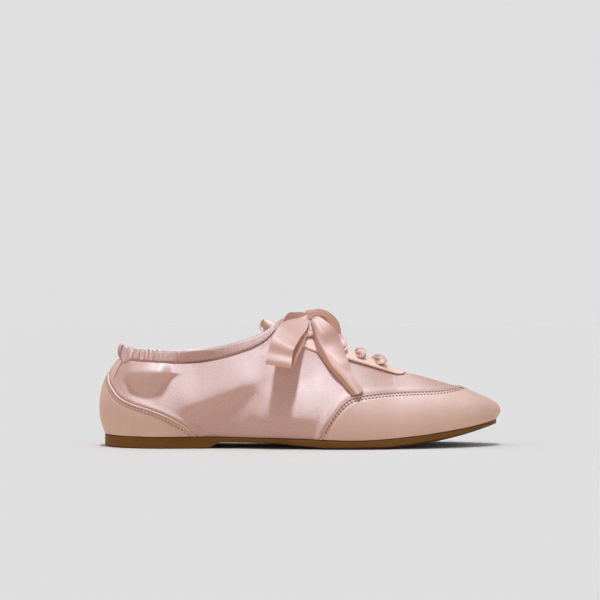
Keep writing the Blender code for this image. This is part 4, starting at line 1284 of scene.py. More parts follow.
# %% Make the upper
HELD_NEAR = 6.0  # mm from an overlay within which the folds die away
CAP_PUFF = (0.75, 1.6, 1.8)  # height, distance from the edge and width
COUNTER_PUFF = (0.45, 1.4, 1.6)
RIPPLE_TALL, RIPPLE_DOWN = 0.04, 4.5  # under the collar


def puff_up(distance, tall, at, wide):
    return tall * bell(distance - at, wide)


def covered(side, stations, rows):
    """Where an overlay lies on the grid."""
    under = np.zeros((len(stations), len(rows)), bool)
    for i, s in enumerate(stations):
        if s >= CAP_START:
            under[i] |= rows <= cap_edge(side, s)
        if s <= COUNTER_END:
            under[i] |= rows <= counter_edge(side, s)
        if THROAT_S <= s <= EYESTAY_S:
            under[i] |= rows >= eyestay_edge(side, s)
    return under


def collar_ripple(stations, base):
    """Small uneven ripples close under the collar, behind the throat."""
    along = arc(base[:, -1])[:, None]
    below_top = COLUMN["top_z"](stations)[:, None] - base[..., 2]
    hang = bell(below_top, RIPPLE_DOWN) * (base[..., 0] < THROAT_TOP + 2)
    wave = np.sin(along * 1.35 + 2 * np.sin(along * 0.11)) + 0.7 * np.sin(along * 0.62 + 1.0)
    return RIPPLE_TALL * hang * wave


def make_upper():
    stations = merged_stations(
        np.linspace(0, 1, 300), [THROAT_S, THROAT_END_S, EYESTAY_S, COUNTER_END, CAP_START]
    )
    rows = np.linspace(0, 1, 56)
    v = np.broadcast_to(rows[None, :], (len(stations), len(rows)))
    offs = []
    for side, folds in ((LATERAL, LATERAL_FOLDS), (MEDIAL, MEDIAL_FOLDS)):
        base = base_wall(side, stations[:, None], v)
        from_cap = distance_to(base, CAP_LINES)
        from_counter = distance_to(base, COUNTER_LINES)
        from_stay = distance_to(base, EYESTAY_LINES)
        clear = np.minimum(np.minimum(from_cap, from_counter), from_stay)
        under = covered(side, stations, rows)
        free = np.where(under, 0.0, smoothstep(clear, 0.0, HELD_NEAR))
        puff = puff_up(from_cap, *CAP_PUFF) + puff_up(from_counter, *COUNTER_PUFF)
        puff = np.where(under, 0.0, puff) * smoothstep(clear, 0.0, 0.8)
        shape = fold_height(base, folds) + sag_height(base)
        shape = shape + rounded_ridge(side, stations, base) + collar_ripple(stations, base)
        shape = shape + eased_throat(side, stations, v, base)
        offs.append(free * shape + puff)
    inner = [off - WALL for off in offs]
    return laid_skin("upper_satin", stations, (v, v), offs, inner, [SATIN, LINING], sharp=50)


seat(make_upper(), "satin", "upper")

# %% [markdown]
# ## Toe cap and heel counter
# Both are thin leather, skived at the edge and turned over a cord, so the edge stands
# up as a narrow rim. Below it two rows of stitches pull the leather into a shallow
# channel. The rim, the channels and the puckers between the stitches are all in the
# height of the outer face.

# %% Leather relief
RIM_AT, RIM_WIDE, RIM_TALL = 0.55, 0.4, 0.25
ROWS_AT = (1.5, 3.3)  # stitch rows, from the edge
ROWS_MIDDLE, ROWS_SPREAD = sum(ROWS_AT) / 2, 1.3
STITCH_PITCH = 2.3
VALLEY_DEEP, PUCKER_TALL = 0.2, 0.13  # of the dip that both rows share, and between stitches
ROW_DEEP, ROW_WIDE = 0.26, 0.5  # of the dip along each row


def leather_relief(distance, along):
    """Height of the leather over its seat, from its distance to the edge."""
    body = OVERLAY * smoothstep(distance, -0.4, 0.5)
    rim = RIM_TALL * bell(distance - RIM_AT, RIM_WIDE)
    valley = bell(distance - ROWS_MIDDLE, ROWS_SPREAD)
    rows = sum(bell(distance - at, ROW_WIDE) for at in ROWS_AT)
    pucker = PUCKER_TALL * np.cos(2 * math.pi * along / STITCH_PITCH)
    return GAP + body + rim + (pucker - VALLEY_DEEP) * valley - ROW_DEEP * rows


def start_rule(side, stations):
    """The v where an overlay's outer face is level with the feather edge."""
    samples = np.linspace(0, 0.3, 121)
    face = wall(side, stations[:, None], samples[None, :], GAP + OVERLAY)
    rise = face[..., 2] - COLUMN["z"](stations)[:, None]
    return samples[np.argmax(rise >= 0, axis=1)]


v_over_sole = at_stations(start_rule, 0.0, 1.0)
print(f"an overlay starts {v_over_sole(LATERAL, 0.5):.3f} up its column at the waist")

# %% [markdown]
# ## Two overlays from one rule
# Toe cap and heel counter run from the sole's edge up to their seams. Rows of the grid
# crowd together at the seam, where the relief is, and stay far apart below it.

# %% Make the leather overlays
CROWDING = 1.6


def make_overlay(name, stations, edge, lines):
    share = 1 - (1 - np.linspace(0, 1, 44)) ** CROWDING
    v_pair, outer = [], []
    for side, line in zip((LATERAL, MEDIAL), lines):
        low = v_over_sole(side, stations)
        high = np.maximum(edge(side, stations), low + 1e-4)
        v = low[:, None] + (high - low)[:, None] * share[None, :]
        base = base_wall(side, stations[:, None], v)
        v_pair.append(v)
        outer.append(leather_relief(distance_to(base, lines), place_along(base, line)))
    inner = [np.full(v.shape, GAP) for v in v_pair]
    return laid_skin(name, stations, v_pair, outer, inner, [LEATHER], sharp=55)


CAP_TURNS = station_of_foot(45.0)  # from here round the toe its stations lie closer
cap_stations = merged_stations(np.linspace(CAP_START, CAP_TURNS, 70), np.linspace(CAP_TURNS, 1, 190))
toe_cap = make_overlay("toe_cap_leather", cap_stations, cap_edge, CAP_LINES)
seat(toe_cap, "leather", "toe_cap")
counter_stations = np.linspace(0, COUNTER_END, 150)
counter = make_overlay("heel_counter_leather", counter_stations, counter_edge, COUNTER_LINES)
seat(counter, "leather", "heel_counter")

# %% [markdown]
# ## Heel tape
# A narrow strip of woven tape covers the back seam, from the counter's edge to the
# collar. It is thin, and thinner still at its selvedges.

# %% Make the heel tape
TAPE_END_S = 0.052  # station of its side edge
TAPE_THICK, TAPE_EDGE = 0.5, 0.25
TAPE_LOW, TAPE_HIGH = 0.03, 0.97  # v over the counter's edge, and v of its upper end
SELVEDGE = 0.006  # stations over which its edge thins


def make_heel_tape():
    stations = np.linspace(0, TAPE_END_S, 18)
    rows = np.linspace(0, 1, 30)
    v_pair, outer = [], []
    for side in (LATERAL, MEDIAL):
        low = counter_edge(side, stations) + TAPE_LOW
        v = low[:, None] + (TAPE_HIGH - low)[:, None] * rows[None, :]
        body = smoothstep(TAPE_END_S - stations, 0.0, SELVEDGE)[:, None]
        v_pair.append(v)
        outer.append(GAP + (TAPE_EDGE + (TAPE_THICK - TAPE_EDGE) * body) + 0 * v)
    inner = [np.full(v.shape, GAP) for v in v_pair]
    return laid_skin("heel_tape_woven", stations, v_pair, outer, inner, [TAPE], sharp=55)


seat(make_heel_tape(), "satin", "heel_tape")

# %% [markdown]
# ## Eyestay
# The eyestay is the facing that carries the eyelets: a long U with a rounded front
# end. Its free edge is turned under, so along the front half it stands a little off
# the satin and throws a thin shadow. A groove follows that edge, and the tip is
# flatter than the rest.

# %% Make the eyestay
EYESTAY_STAND, STAND_WIDE = 1.0, 2.6  # how far its edge stands off, and how far in
STAND_FROM = (8.0, 34.0)  # x between which that begins
EYESTAY_TIP, TIP_FROM = 0.4, (50.0, 66.0)  # how much flatter its tip is, and from which x
GROOVE_DEEP, GROOVE_AT, GROOVE_WIDE = 0.12, 1.7, 0.4


def make_eyestay():
    stations = merged_stations(
        np.linspace(THROAT_S, THROAT_END_S, 150), np.linspace(THROAT_END_S, EYESTAY_S, 40)
    )
    share = np.concatenate([np.linspace(0, 0.25, 12)[:-1], np.linspace(0.25, 1, 22)])
    v_pair, outer, inner = [], [], []
    for side in (LATERAL, MEDIAL):
        low = np.minimum(eyestay_edge(side, stations), 1 - 1e-4)
        v = low[:, None] + (1 - low)[:, None] * share[None, :]
        base = base_wall(side, stations[:, None], v)
        to_edge = distance_to(base, EYESTAY_LINES)
        to_throat = np.linalg.norm(base - base[:, -1:], axis=2)
        open_throat = (COLUMN["top_x"](stations) < THROAT_END)[:, None]
        lip = np.where(open_throat, smoothstep(to_throat, -0.4, 0.8), 1.0)
        flat = 1 - EYESTAY_TIP * smoothstep(base[..., 0], *TIP_FROM)
        stand = EYESTAY_STAND * bell(to_edge, STAND_WIDE) * smoothstep(base[..., 0], *STAND_FROM) * flat
        groove = GROOVE_DEEP * bell(to_edge - GROOVE_AT, GROOVE_WIDE)
        relief = flat * (OVERLAY * smoothstep(to_edge, -0.2, 0.4) * lip - groove)
        v_pair.append(v)
        outer.append(GAP + relief + stand)
        inner.append(GAP + stand)
    # The eyestay takes the paler copy of the leather: painted light.
    return laid_skin("eyestay_leather", stations, v_pair, outer, inner, [LEATHER_PAINTED_LIGHT], sharp=55)


seat(make_eyestay(), "leather", "eyestay")

# %% [markdown]
# ## Tongue
# The tongue is a padded flap of leather under the throat. It is laid along both edges
# of the throat, crowned in the middle, and its padded top rises behind the knot and is
# rounded off.

# %% Make the tongue
TONGUE_THICK, TONGUE_CROWN = 1.8, 1.2
TONGUE_SWELL, TONGUE_EDGE = 6.2, 0.6  # how much thicker its padded top is, less at its sides
TONGUE_PAD = (0.78, 0.9)  # shares of its length between which the padding begins
TONGUE_ROUND = 0.06  # share of its length that the rounding of the top takes
TONGUE_FRONT, TONGUE_RIM = 52.0, 0.12  # x where it is sewn in, and half its edge's thickness
# The rows of its free top: how far behind the last row, how far above, how wide.
TONGUE_TOP = ((-4.5, 2.8, 0.9), (-9.0, 4.9, 0.8), (-12.0, 5.9, 0.6), (-13.6, 6.4, 0.3))


def make_tongue():
    rows = []
    for x in np.linspace(TONGUE_FRONT, THROAT_TOP + 1, 9):
        s = station_of_top(x)
        reach = 4.0 + 4.0 * smoothstep(x, THROAT_TOP, 15.0)
        row = []
        for side, distances in ((LATERAL, (reach, reach / 2, 0.0)), (MEDIAL, (0.0, reach / 2, reach))):
            row += [wall(side, s, v_below_top(side, s, d), -(WALL + 3 * GAP)) for d in distances]
        middle = (row[2] + row[3]) / 2 + np.array([0.0, 0.0, TONGUE_CROWN])
        rows.append(np.array(row[:3] + [middle] + row[3:]))
    last = rows[-1]
    for back, rise, width in TONGUE_TOP:
        moved = last[3] + np.array([back, 0.0, rise])
        rows.append(moved + (last - last[3]) * np.array([1.0, width, 1.0]))
    top = np.stack([smooth_line(row, 41) for row in smooth_line(rows, 90)])
    normal = grid_normals(top)
    normal *= np.sign(normal[..., 2:])
    u = np.linspace(-1, 1, top.shape[1])[None, :]
    t = np.linspace(0, 1, len(top))[:, None]
    end = np.clip((1 - t) / TONGUE_ROUND, 0.0, 1.0)
    full = (1 - np.abs(u) ** 5) ** 0.5 * np.sqrt(1 - (1 - end) ** 2)
    thick = TONGUE_THICK + TONGUE_SWELL * smoothstep(t, *TONGUE_PAD) * (1 - TONGUE_EDGE * u**2)
    middle = top - normal * (thick / 2)[..., None]
    half = normal * np.maximum(thick / 2 * full, TONGUE_RIM)[..., None]
    # The tongue takes the paler copy of the leather: painted light.
    return skin("tongue_leather", [(middle + half, middle - half, False)], [LEATHER_PAINTED_LIGHT], sharp=70)


seat(make_tongue(), "leather", "tongue")

# %% [markdown]
# ## The collar's line
# The collar is a satin tube folded over elastic. Its line follows the top of the wall
# from the outer throat corner round the heel to the inner one, and carries two
# directions with it, outwards and upwards, in which its rings are drawn.

# %% Collar line
def collar_run(count=700):
    """Points of the collar's line, their directions out and up, and their stations."""
    even = np.linspace(THROAT_S, 0, count // 2)
    points, outs, ups, stations = [], [], [], []
    for side, s in ((LATERAL, even), (MEDIAL, even[::-1][1:])):
        top = base_wall(side, s, 1.0)
        points.append(top)
        outs.append(wall_normal(side, s, 1.0))
        ups.append(unit(top - base_wall(side, s, 1.0 - 1e-3)))
        stations.append(s)
    points, outs, ups, s = (np.concatenate(part) for part in (points, outs, ups, stations))
    # Eased, because the two sides' directions differ where they meet at the heel.
    return points, unit(eased(outs, 12)), unit(eased(ups, 12)), s


print(f"collar line: {arc(collar_run()[0])[-1]:.0f} mm")

# %% [markdown]
# ## Ruffles, puckers and wrinkles
# Behind the heel the elastic pulls the tube into a bunch of deep ruffles, two rhythms
# on top of each other. Beside the bunch it is loose and uneven, at the join it has a
# small ridge, and along its seam it puckers at every stitch. Further forward it is
# nearly smooth, but for the long wrinkles of a folded tube.

# %% Collar relief
RUFFLE_TALL, RUFFLE_PITCH = 1.15, 3.1
SMALL_RUFFLE_TALL, SMALL_RUFFLE_PITCH = 0.45, 1.75
SOFT_TALL, WRINKLE_TALL = 0.22, 0.08
SEAM_PUCKER, PUCKER_PITCH, PUCKER_SIN = 0.10, 1.8, -0.85  # height, pitch, place on the ring
JOIN_X, JOIN_TALL, JOIN_WIDE = -76.0, 0.28, 0.45  # where the bunch's tube joins the plain one


def waves(along, pitch, shift=0.0):
    return np.sin(along * 2 * math.pi / pitch + shift)


def collar_relief(a, x, sin, cos, gathered, loose, smooth_part, from_heel):
    """Height over the plain tube: a is the place along it, sin and cos the place round it."""
    ruffle = gathered * (
        RUFFLE_TALL * waves(a, RUFFLE_PITCH, 1.6 * sin + 0.9 * np.sin(a * 0.55))
        + SMALL_RUFFLE_TALL * waves(a, SMALL_RUFFLE_PITCH, 2.3 * sin)
    )
    soft = SOFT_TALL * loose * np.sin(a * 1.5 + 1.8 * cos + 1.2 * sin)
    pucker = SEAM_PUCKER * bell(sin - PUCKER_SIN, 0.25) * waves(a, PUCKER_PITCH)
    pucker = pucker * (0.3 + 0.7 * bell(from_heel - 35, 30))
    join = JOIN_TALL * bell(x - JOIN_X, JOIN_WIDE)
    wrinkle = np.sin(a * 1.9 + 2.0 * sin + 1.3 * np.sin(a * 0.31)) * np.sin(a * 0.53 + 0.7)
    return ruffle + soft + pucker + join + WRINKLE_TALL * (1 - 0.8 * smooth_part) * wrinkle


print(f"ruffles {RUFFLE_TALL} mm deep, one in {RUFFLE_PITCH} mm")

# %% [markdown]
# ## The collar
# Each ring is a rounded box, taller than it is thick. The bunch is thicker, stands
# upright and sits a little further in; one of its folds hangs down on each side of the
# heel. In front of the join the tube's top leans outwards. Its seam, low on the
# outside, is kept for the stitches.

# %% Make the collar
COLLAR_TALL, COLLAR_THICK = 7.2, 3.4
COLLAR_TAPER, TAPER_FROM = 1.0, 0.08  # how much thinner it ends, and over how many stations
BOXY_OUT, BOXY_UP = 0.42, 0.8  # 1 is round, 0 is square
COLLAR_LEAN = (0.3, 2.4)  # how far its top leans out: most of it, and beside the join
LEAN_AT, LEAN_WIDE = -64.0, 13.0  # where it leans most
GATHER_TALL, GATHER_THICK = 0.6, 3.0  # what the bunch behind the heel adds
GATHER_IN, GATHER_UPRIGHT = 0.9, 3.0
GATHER_ENDS = (0.035, 0.08)  # stations between which the bunch fades
LOOSE_AT, LOOSE_WIDE = 25.0, 7.0  # where the tube is uneven, measured round the heel
LUMPY_TALL, LUMPY_THICK = 0.5, 0.9  # how much, in its height and in its thickness
LOBE_AT, LOBE_WIDE, LOBE_OUT, LOBE_DOWN = 12.0, 3.4, 0.9, 4.6  # the fold that hangs down
SEAM_TURN, SEAM_OFF, SEAM_FROM = 312, 0.12, 17.0  # degrees round the ring; mm off it; from the heel


def make_collar():
    """The tube, and the line of its seam on both sides with its outward direction."""
    points, outs, ups, s = collar_run()
    along = arc(points)
    heel = along[len(along) // 2]
    from_heel = np.abs(along - heel)[:, None]
    gathered = (1 - smoothstep(s, *GATHER_ENDS))[:, None]
    loose = bell(from_heel - LOOSE_AT, LOOSE_WIDE)
    leaning = bell(points[:, :1] - LEAN_AT, LEAN_WIDE)
    ups = unit(ups + gathered * np.array([0.0, 0.0, GATHER_UPRIGHT]))
    a = along[:, None]
    lumps = 0.6 * np.sin(a * 1.15) + 0.5 * np.sin(a * 1.9 + 1.3)
    taper = COLLAR_TAPER * smoothstep(s, THROAT_S - TAPER_FROM, THROAT_S)[:, None]
    tall = COLLAR_TALL + GATHER_TALL * gathered + LUMPY_TALL * lumps * loose
    thick = COLLAR_THICK + GATHER_THICK * gathered + LUMPY_THICK * lumps * loose - taper
    centre = points + ups * (1.5 * GAP + tall / 2) - outs * (WALL / 2 + GATHER_IN * gathered)
    turns = np.linspace(0, 2 * math.pi, 48, endpoint=False)
    cos, sin = np.cos(turns)[None, :], np.sin(turns)[None, :]
    ring_out = np.sign(cos) * np.abs(cos) ** BOXY_OUT
    ring_up = np.sign(sin) * np.abs(sin) ** BOXY_UP
    swell = collar_relief(a, points[:, :1], sin, cos, gathered, loose, leaning, from_heel)
    lobe = bell(from_heel - LOBE_AT, LOBE_WIDE) * np.clip(-sin, 0, 1)
    lean = (COLLAR_LEAN[0] + (COLLAR_LEAN[1] - COLLAR_LEAN[0]) * leaning) * (1 - gathered) * ring_up
    out = ring_out * thick / 2 + swell * cos + lean + LOBE_OUT * lobe
    up = ring_up * tall / 2 + 0.6 * swell * sin - LOBE_DOWN * lobe
    rings = centre[:, None] + outs[:, None] * out[..., None] + ups[:, None] * up[..., None]
    seam = rings[:, int(np.argmin(np.abs(turns - math.radians(SEAM_TURN))))] + SEAM_OFF * outs
    plain = from_heel[:, 0] > SEAM_FROM
    halves = [(seam[part], outs[part]) for part in (plain & (along < heel), plain & (along > heel))]
    return tube("collar_tube", rings, [COLLAR_SATIN_PAINTED_SHADE], sharp=80), halves


collar, COLLAR_SEAM = make_collar()
seat(collar, "satin", "collar_binding")

# %% [markdown]
# ## A gathered strip
# The ribbon is gathered small at each eyelet and puffs out between them. So a strip is
# narrow at both ends, wide in the middle, bent into an arch across its width and
# pleated along its length. The seed shifts its pleats, so that no two strips match.

# %% Gathered strip
EYELET_X = (49.0, 37.0, 24.5, 12.0, -1.0)  # from the front pair to the top pair
EYELET_INSET = 5.0  # below the top line
EYELET_TOP = 2 * GAP + OVERLAY + 0.7  # top of an eyelet's roll over the last
STRIP_ARCH = 1.45  # half the arch across a strip, in radians
STRIP_PLEATS = ((0.11, 5.5, 3.0), (0.06, 11.0, 0.0))  # share of its width, how many, drift


def eyelet_frame(side, x):
    """The middle of an eyelet, its outward direction and the direction up the wall."""
    s = station_of_top(x)
    v = v_below_top(side, s, EYELET_INSET)
    up = base_wall(side, s, v) - base_wall(side, s, v - 1e-3)
    return base_wall(side, s, v), wall_normal(side, s, v), unit(up)


def gathered_strip(knots, normals, wide, ends, seed):
    """Grid of a gathered ribbon along a smooth path, with a normal and a width at each end."""
    path = smooth_line(knots, 70)
    t = np.linspace(0, 1, len(path))[:, None]
    along = unit(np.gradient(path, axis=0))
    up = np.array([0, 0, 1.0]) + 0.6 * ((1 - t) * normals[0] + t * normals[1])
    across = unit(np.cross(along, up))
    over = unit(np.cross(across, along))
    spread = smoothstep(t, -0.03, 0.17) * smoothstep(1 - t, -0.03, 0.17)
    width = (1 - spread) * (ends[0] + (ends[1] - ends[0]) * t) + wide * spread
    fold = np.linspace(-STRIP_ARCH, STRIP_ARCH, 27)[None, :]
    pleats = sum(
        high * np.cos(many * fold + seed + drift * t) for high, many, drift in STRIP_PLEATS
    )
    radius = width / 2 * (1 + pleats)
    sideways, upwards = radius * np.sin(fold), radius * (np.cos(fold) - 0.35)
    return path[:, None] + across[:, None] * sideways[..., None] + over[:, None] * upwards[..., None]


print("eyelets at x", EYELET_X)

# %% [markdown]
# ## The lacing
# The same ribbon as the bow's is laced in straight bars over the tongue, so what runs
# from pair to pair lies hidden under the eyestay. The ends of every bar go down into
# their eyelets, and from the top pair two slacker strands rise into the knot.

# %% Make the lacing
LACE_RISE = (2.8, 1.6, 7.5, 6.7, 6.3)  # of each bar's middle, from the front one on
LACE_WIDE, LACE_ENDS = 6.8, (4.2, 4.2)
LACE_LOW = EYELET_TOP - 0.5  # the bars lie close on the eyestay
STRAND_WIDE, STRAND_ENDS = 6.4, (1.9, 3.0)
SUNK_END = 1.0  # how far every end goes down into its eyelet


def lace_bar(x, rise, seed):
    """A straight bar over the throat, its ends gone down into the two eyelets."""
    (p0, n0, u0), (p1, n1, u1) = eyelet_frame(LATERAL, x), eyelet_frame(MEDIAL, x)
    sway = np.array([0.5 + 0.5 * math.cos(seed * 2.3), 0.0, 0.0])

    def end(p, n, u):
        over_edge = p + n * (LACE_LOW + 1.0) + u * 0.6 + sway
        return [p - n * SUNK_END, p + n * (LACE_LOW * 0.75) - u * 0.4, over_edge]

    middle = (p0 + p1) / 2 + (n0 + n1) / 2 * LACE_LOW + np.array([0, 0, rise]) - sway
    knots = np.array([*end(p0, n0, u0), middle, *end(p1, n1, u1)[::-1]])
    return gathered_strip(knots, (n0, n1), LACE_WIDE, LACE_ENDS, seed)


def knot_strand(side, seed):
    """From a top eyelet up into the knot, a little slack."""
    p, n, _ = eyelet_frame(side, EYELET_X[-1])
    x, y, z = KNOT_AT
    knots = np.array([
        p - n * SUNK_END, p + n * (EYELET_TOP + 0.4), (3.6, y + side * 10.6, 70.8),
        (7.0, y + side * 8.6, 72.6), (7.3, y + side * 5.6, 76.0), (x, y + side * 1.5, z - 0.6),
    ])
    at_knot = np.array([0.6, side * 0.8, 0.0])
    return gathered_strip(knots, (n, at_knot), STRAND_WIDE, STRAND_ENDS, seed)


def make_lacing():
    """All the bars and both strands in one piece, each a closed strip."""
    outers = [lace_bar(x, LACE_RISE[n], seed=1.7 * n) for n, x in enumerate(EYELET_X)]
    outers += [knot_strand(side, seed=0.8 * side) for side in (LATERAL, MEDIAL)]
    patches = []
    for outer in outers:
        normals = grid_normals(outer)
        normals *= np.sign(normals[len(outer) // 2, outer.shape[1] // 2, 2])
        patches.append((outer, outer - normals * RIBBON_THICK, False))
    return skin("lace_bars", patches, [RIBBON], sharp=65)


seat(make_lacing(), "ribbon", *[f"lace_bar_{n}" for n in range(1, 6)])

# %% [markdown]
# ## The sole's profile
# Seen from the side the gum sole is a low heel, a raised arch, a flat tread and a
# little spring at the toe. Each row of the table gives x, the height of the underside,
# how far its edge rolls up, and how far inwards that roll reaches.

# %% Tread table
TREAD = np.array((
    (-124.0, 0.0, 0.7, 2.0), (-61.0, 0.0, 0.7, 2.0), (-57.0, 0.15, 0.7, 2.0),
    (-50.0, 3.7, 0.5, 2.0), (-45.0, 3.9, 0.5, 3.0), (-22.0, 3.4, 0.7, 4.0),
    (2.0, 1.3, 1.2, 6.0), (18.0, 0.0, 1.7, 7.0), (50.0, 0.0, 2.2, 7.0),
    (66.0, 1.3, 2.3, 7.0), (84.0, 4.0, 2.0, 6.0), (102.0, 7.7, 1.4, 5.0),
    (116.0, 11.4, 1.0, 4.0), (124.0, 13.4, 0.6, 3.0),
))


def monotone(knots, values):
    """A smooth curve through the values that never swings past them, so flats stay flat."""
    slopes = np.diff(values) / np.diff(knots)
    before, after = slopes[:-1], slopes[1:]
    inner = np.where(before * after > 0, 2 * before * after / (before + after + 1e-12), 0.0)
    ends = np.concatenate([slopes[:1], inner, slopes[-1:]])

    def at(where):
        where = np.clip(where, knots[0], knots[-1])
        i = np.clip(np.searchsorted(knots, where, side="right") - 1, 0, len(knots) - 2)
        gap = knots[i + 1] - knots[i]
        t = (where - knots[i]) / gap
        return (
            (2 * t**3 - 3 * t**2 + 1) * values[i] + (t**3 - 2 * t**2 + t) * gap * ends[i]
            + (3 * t**2 - 2 * t**3) * values[i + 1] + (t**3 - t**2) * gap * ends[i + 1]
        )

    return at


tread_height, tread_roll, tread_inset = (monotone(TREAD[:, 0], TREAD[:, k]) for k in (1, 2, 3))
print(f"arch {tread_height(-35.0):.1f} mm over the floor")

# %% [markdown]
# ## The sole
# Rings across the shoe are closed into one solid. Each runs from the seam with the
# upper down the side, rounds the lower edge and crosses underneath, where the field
# inside a plain border is sunk. The side is pale gum; every face that points down
# takes a near-black rubber, partly the tread's darker rubber and partly painted shade.

# %% Make the sole
SOLE_LIP = 1.4  # how far it stands out past the feather edge
TOP_EDGE = ((0.55, 0.0), (0.12, -0.05), (0.0, -0.45))  # inwards and down from its top rim
BORDER, SUNK = 3.2, 0.8  # plain border of the underside, and how deep the field inside is
SUNK_WIDTHS = (6.0, 12.0)  # half widths of the sole between which the field begins
# Faces pointing down by more than this get the near-black rubber: painted shade of the underside.
PAINTED_SHADE_BELOW = -0.45  # how far down a face looks to belong to the darker underside


def sole_half(side, s):
    """Half a ring of the sole, from its top rim round its edge to the middle of its field."""
    plan, outward = foot_line(side, s)
    x, wide = plan[0], COLUMN["half"](s)
    inset, roll = tread_inset(x), tread_roll(x)
    rows = list(TOP_EDGE)
    for turn in np.linspace(0, math.pi / 2, 8):
        rows.append((inset * (1 - math.cos(turn)), roll * (1 - math.sin(turn))))
    border = min(inset + BORDER, max(wide - 0.5, inset))
    sunk = SUNK * smoothstep(wide, *SUNK_WIDTHS)
    rows += [(border, 0.0), (border + 0.3 * sunk, sunk)]
    half = []
    for n, (inwards, rise) in enumerate(rows):
        at = plan + outward * (SOLE_LIP - min(inwards, wide + SOLE_LIP - 0.05))
        level = COLUMN["z"](s) - SEAT_GAP if n < len(TOP_EDGE) else tread_height(at[0])
        half.append((*at, level + rise))
    return half


def make_sole():
    rings = []
    for s in np.linspace(0, 1, 320):
        halves = [sole_half(side, s) for side in (LATERAL, MEDIAL)]
        middle = np.mean([halves[0][-1], halves[1][-1]], axis=0)
        over = np.mean([halves[0][0], halves[1][0]], axis=0)
        rings.append([*halves[0], middle, *halves[1][::-1], over])
    sole = tube("gum_sole", np.array(rings), [GUM, TREAD_RUBBER_AND_SHADE], sharp=38)
    # Down-facing faces take the near-black rubber: painted shade.
    down = np.array([face.normal.z < PAINTED_SHADE_BELOW for face in sole.data.polygons])
    sole.data.polygons.foreach_set("material_index", down.astype(np.int32))
    return sole


seat(make_sole(), "gum_rubber", "outsole")

# %% [markdown]
# ## The insole
# A padded sock of lining cloth fills the bottom of the shoe, with a rounded edge just
# inside the wall.

# %% Make the insole
INSOLE_THICK = 3.0
INSOLE_ROWS = (  # inwards from the wall's inner face, and height, from the lower edge up
    (0.6, 0.0), (0.6, INSOLE_THICK * 0.6), (0.9, INSOLE_THICK * 0.9),
    (1.6, INSOLE_THICK), (3.4, INSOLE_THICK - 0.25),
)


def insole_half(side, s):
    plan, outward = foot_line(side, s)
    z = COLUMN["z"](s)
    return [(*(plan - outward * (WALL + inset)), z + rise) for inset, rise in INSOLE_ROWS]


def make_insole():
    stations = np.linspace(0, 1, 160)
    rings = [[*insole_half(LATERAL, s), *insole_half(MEDIAL, s)[::-1]] for s in stations]
    return tube("insole_lining", np.array(rings), [LINING], sharp=60)


seat(make_insole(), "lining", "insole")

# %% [markdown]
# ## Geometry Nodes: what repeats along a path
# Stitches, tread pads and eyelets repeat on the shoe. Each tree takes a mesh of points
# or lines with the direction away from the surface stored on it, and puts one small
# shape at every step, turned to its place. The instances are realized and get their
# material in the tree. These are the steps that both trees share.

# %% Steps of a geometry tree
def geometry_tree(name, inputs):
    """An empty geometry tree with named inputs: (name, kind, value)."""
    tree = bpy.data.node_groups.new(name, "GeometryNodeTree")
    tree.interface.new_socket("Geometry", in_out="INPUT", socket_type="NodeSocketGeometry")
    for title, kind, value in inputs:
        socket = tree.interface.new_socket(title, in_out="INPUT", socket_type="NodeSocket" + kind)
        if value is not None:
            socket.default_value = value
    tree.interface.new_socket("Geometry", in_out="OUTPUT", socket_type="NodeSocketGeometry")
    return tree, tree.nodes.new("NodeGroupInput"), tree.nodes.new("NodeGroupOutput")


def stored(tree, name):
    """A direction that is stored on the points."""
    node = add_node(
        tree, "GeometryNodeInputNamedAttribute", {"Name": name}, data_type="FLOAT_VECTOR"
    )
    return node.outputs[0]


def size_of(tree, x, y, z):
    return add_node(tree, "ShaderNodeCombineXYZ", {"X": x, "Y": y, "Z": z}).outputs[0]


def place_all(tree, out, points, shape, along, size, material):
    """The shape at every point: X along the path, Z away from the surface."""
    turned = add_node(
        tree, "FunctionNodeAxesToRotation", {0: stored(tree, "outward"), 1: along},
        primary_axis="Z", secondary_axis="X",
    )
    placed = add_node(tree, "GeometryNodeInstanceOnPoints", {
        "Points": points, "Instance": shape, "Rotation": turned.outputs[0], "Scale": size})
    real = add_node(tree, "GeometryNodeRealizeInstances", {0: placed.outputs[0]})
    smooth = add_node(tree, "GeometryNodeSetShadeSmooth", {0: real.outputs[0]})
    finished = add_node(
        tree, "GeometryNodeSetMaterial", {"Geometry": smooth.outputs[0], "Material": material}
    )
    tree.links.new(finished.outputs[0], out.inputs[0])


print("ready: geometry_tree, stored, size_of, place_all")

# %% [markdown]
# ## Two trees
# A stitch is a small capsule of thread, as long as the needle's step leaves it, half
# sunk in the leather. An eyelet's visible rim is a rolled ring, a little flattened by
# the setting tool. Both trees take their sizes by name.

# %% Stitch and eyelet trees
def stitch_tree():
    """Capsules of a set length at a set pitch along every line."""
    tree, given, out = geometry_tree("stitch row", [
        ("Pitch", "Float", 2.6 * MM), ("Length", "Float", 2.0 * MM), ("Width", "Float", 0.5 * MM),
        ("Height", "Float", 0.4 * MM), ("Thread", "Material", None)])
    value = given.outputs
    curve = add_node(tree, "GeometryNodeMeshToCurve", {"Mesh": value["Geometry"]}).outputs[0]
    steps = {"Curve": curve, "Length": value["Pitch"]}
    even = add_node(tree, "GeometryNodeResampleCurve", steps, mode="LENGTH").outputs[0]
    ball = {"Segments": 8, "Rings": 5, "Radius": 0.5}
    capsule = add_node(tree, "GeometryNodeMeshUVSphere", ball).outputs["Mesh"]
    tangent = add_node(tree, "GeometryNodeInputTangent").outputs[0]
    size = size_of(tree, value["Length"], value["Width"], value["Height"])
    place_all(tree, out, even, capsule, tangent, size, value["Thread"])
    return tree


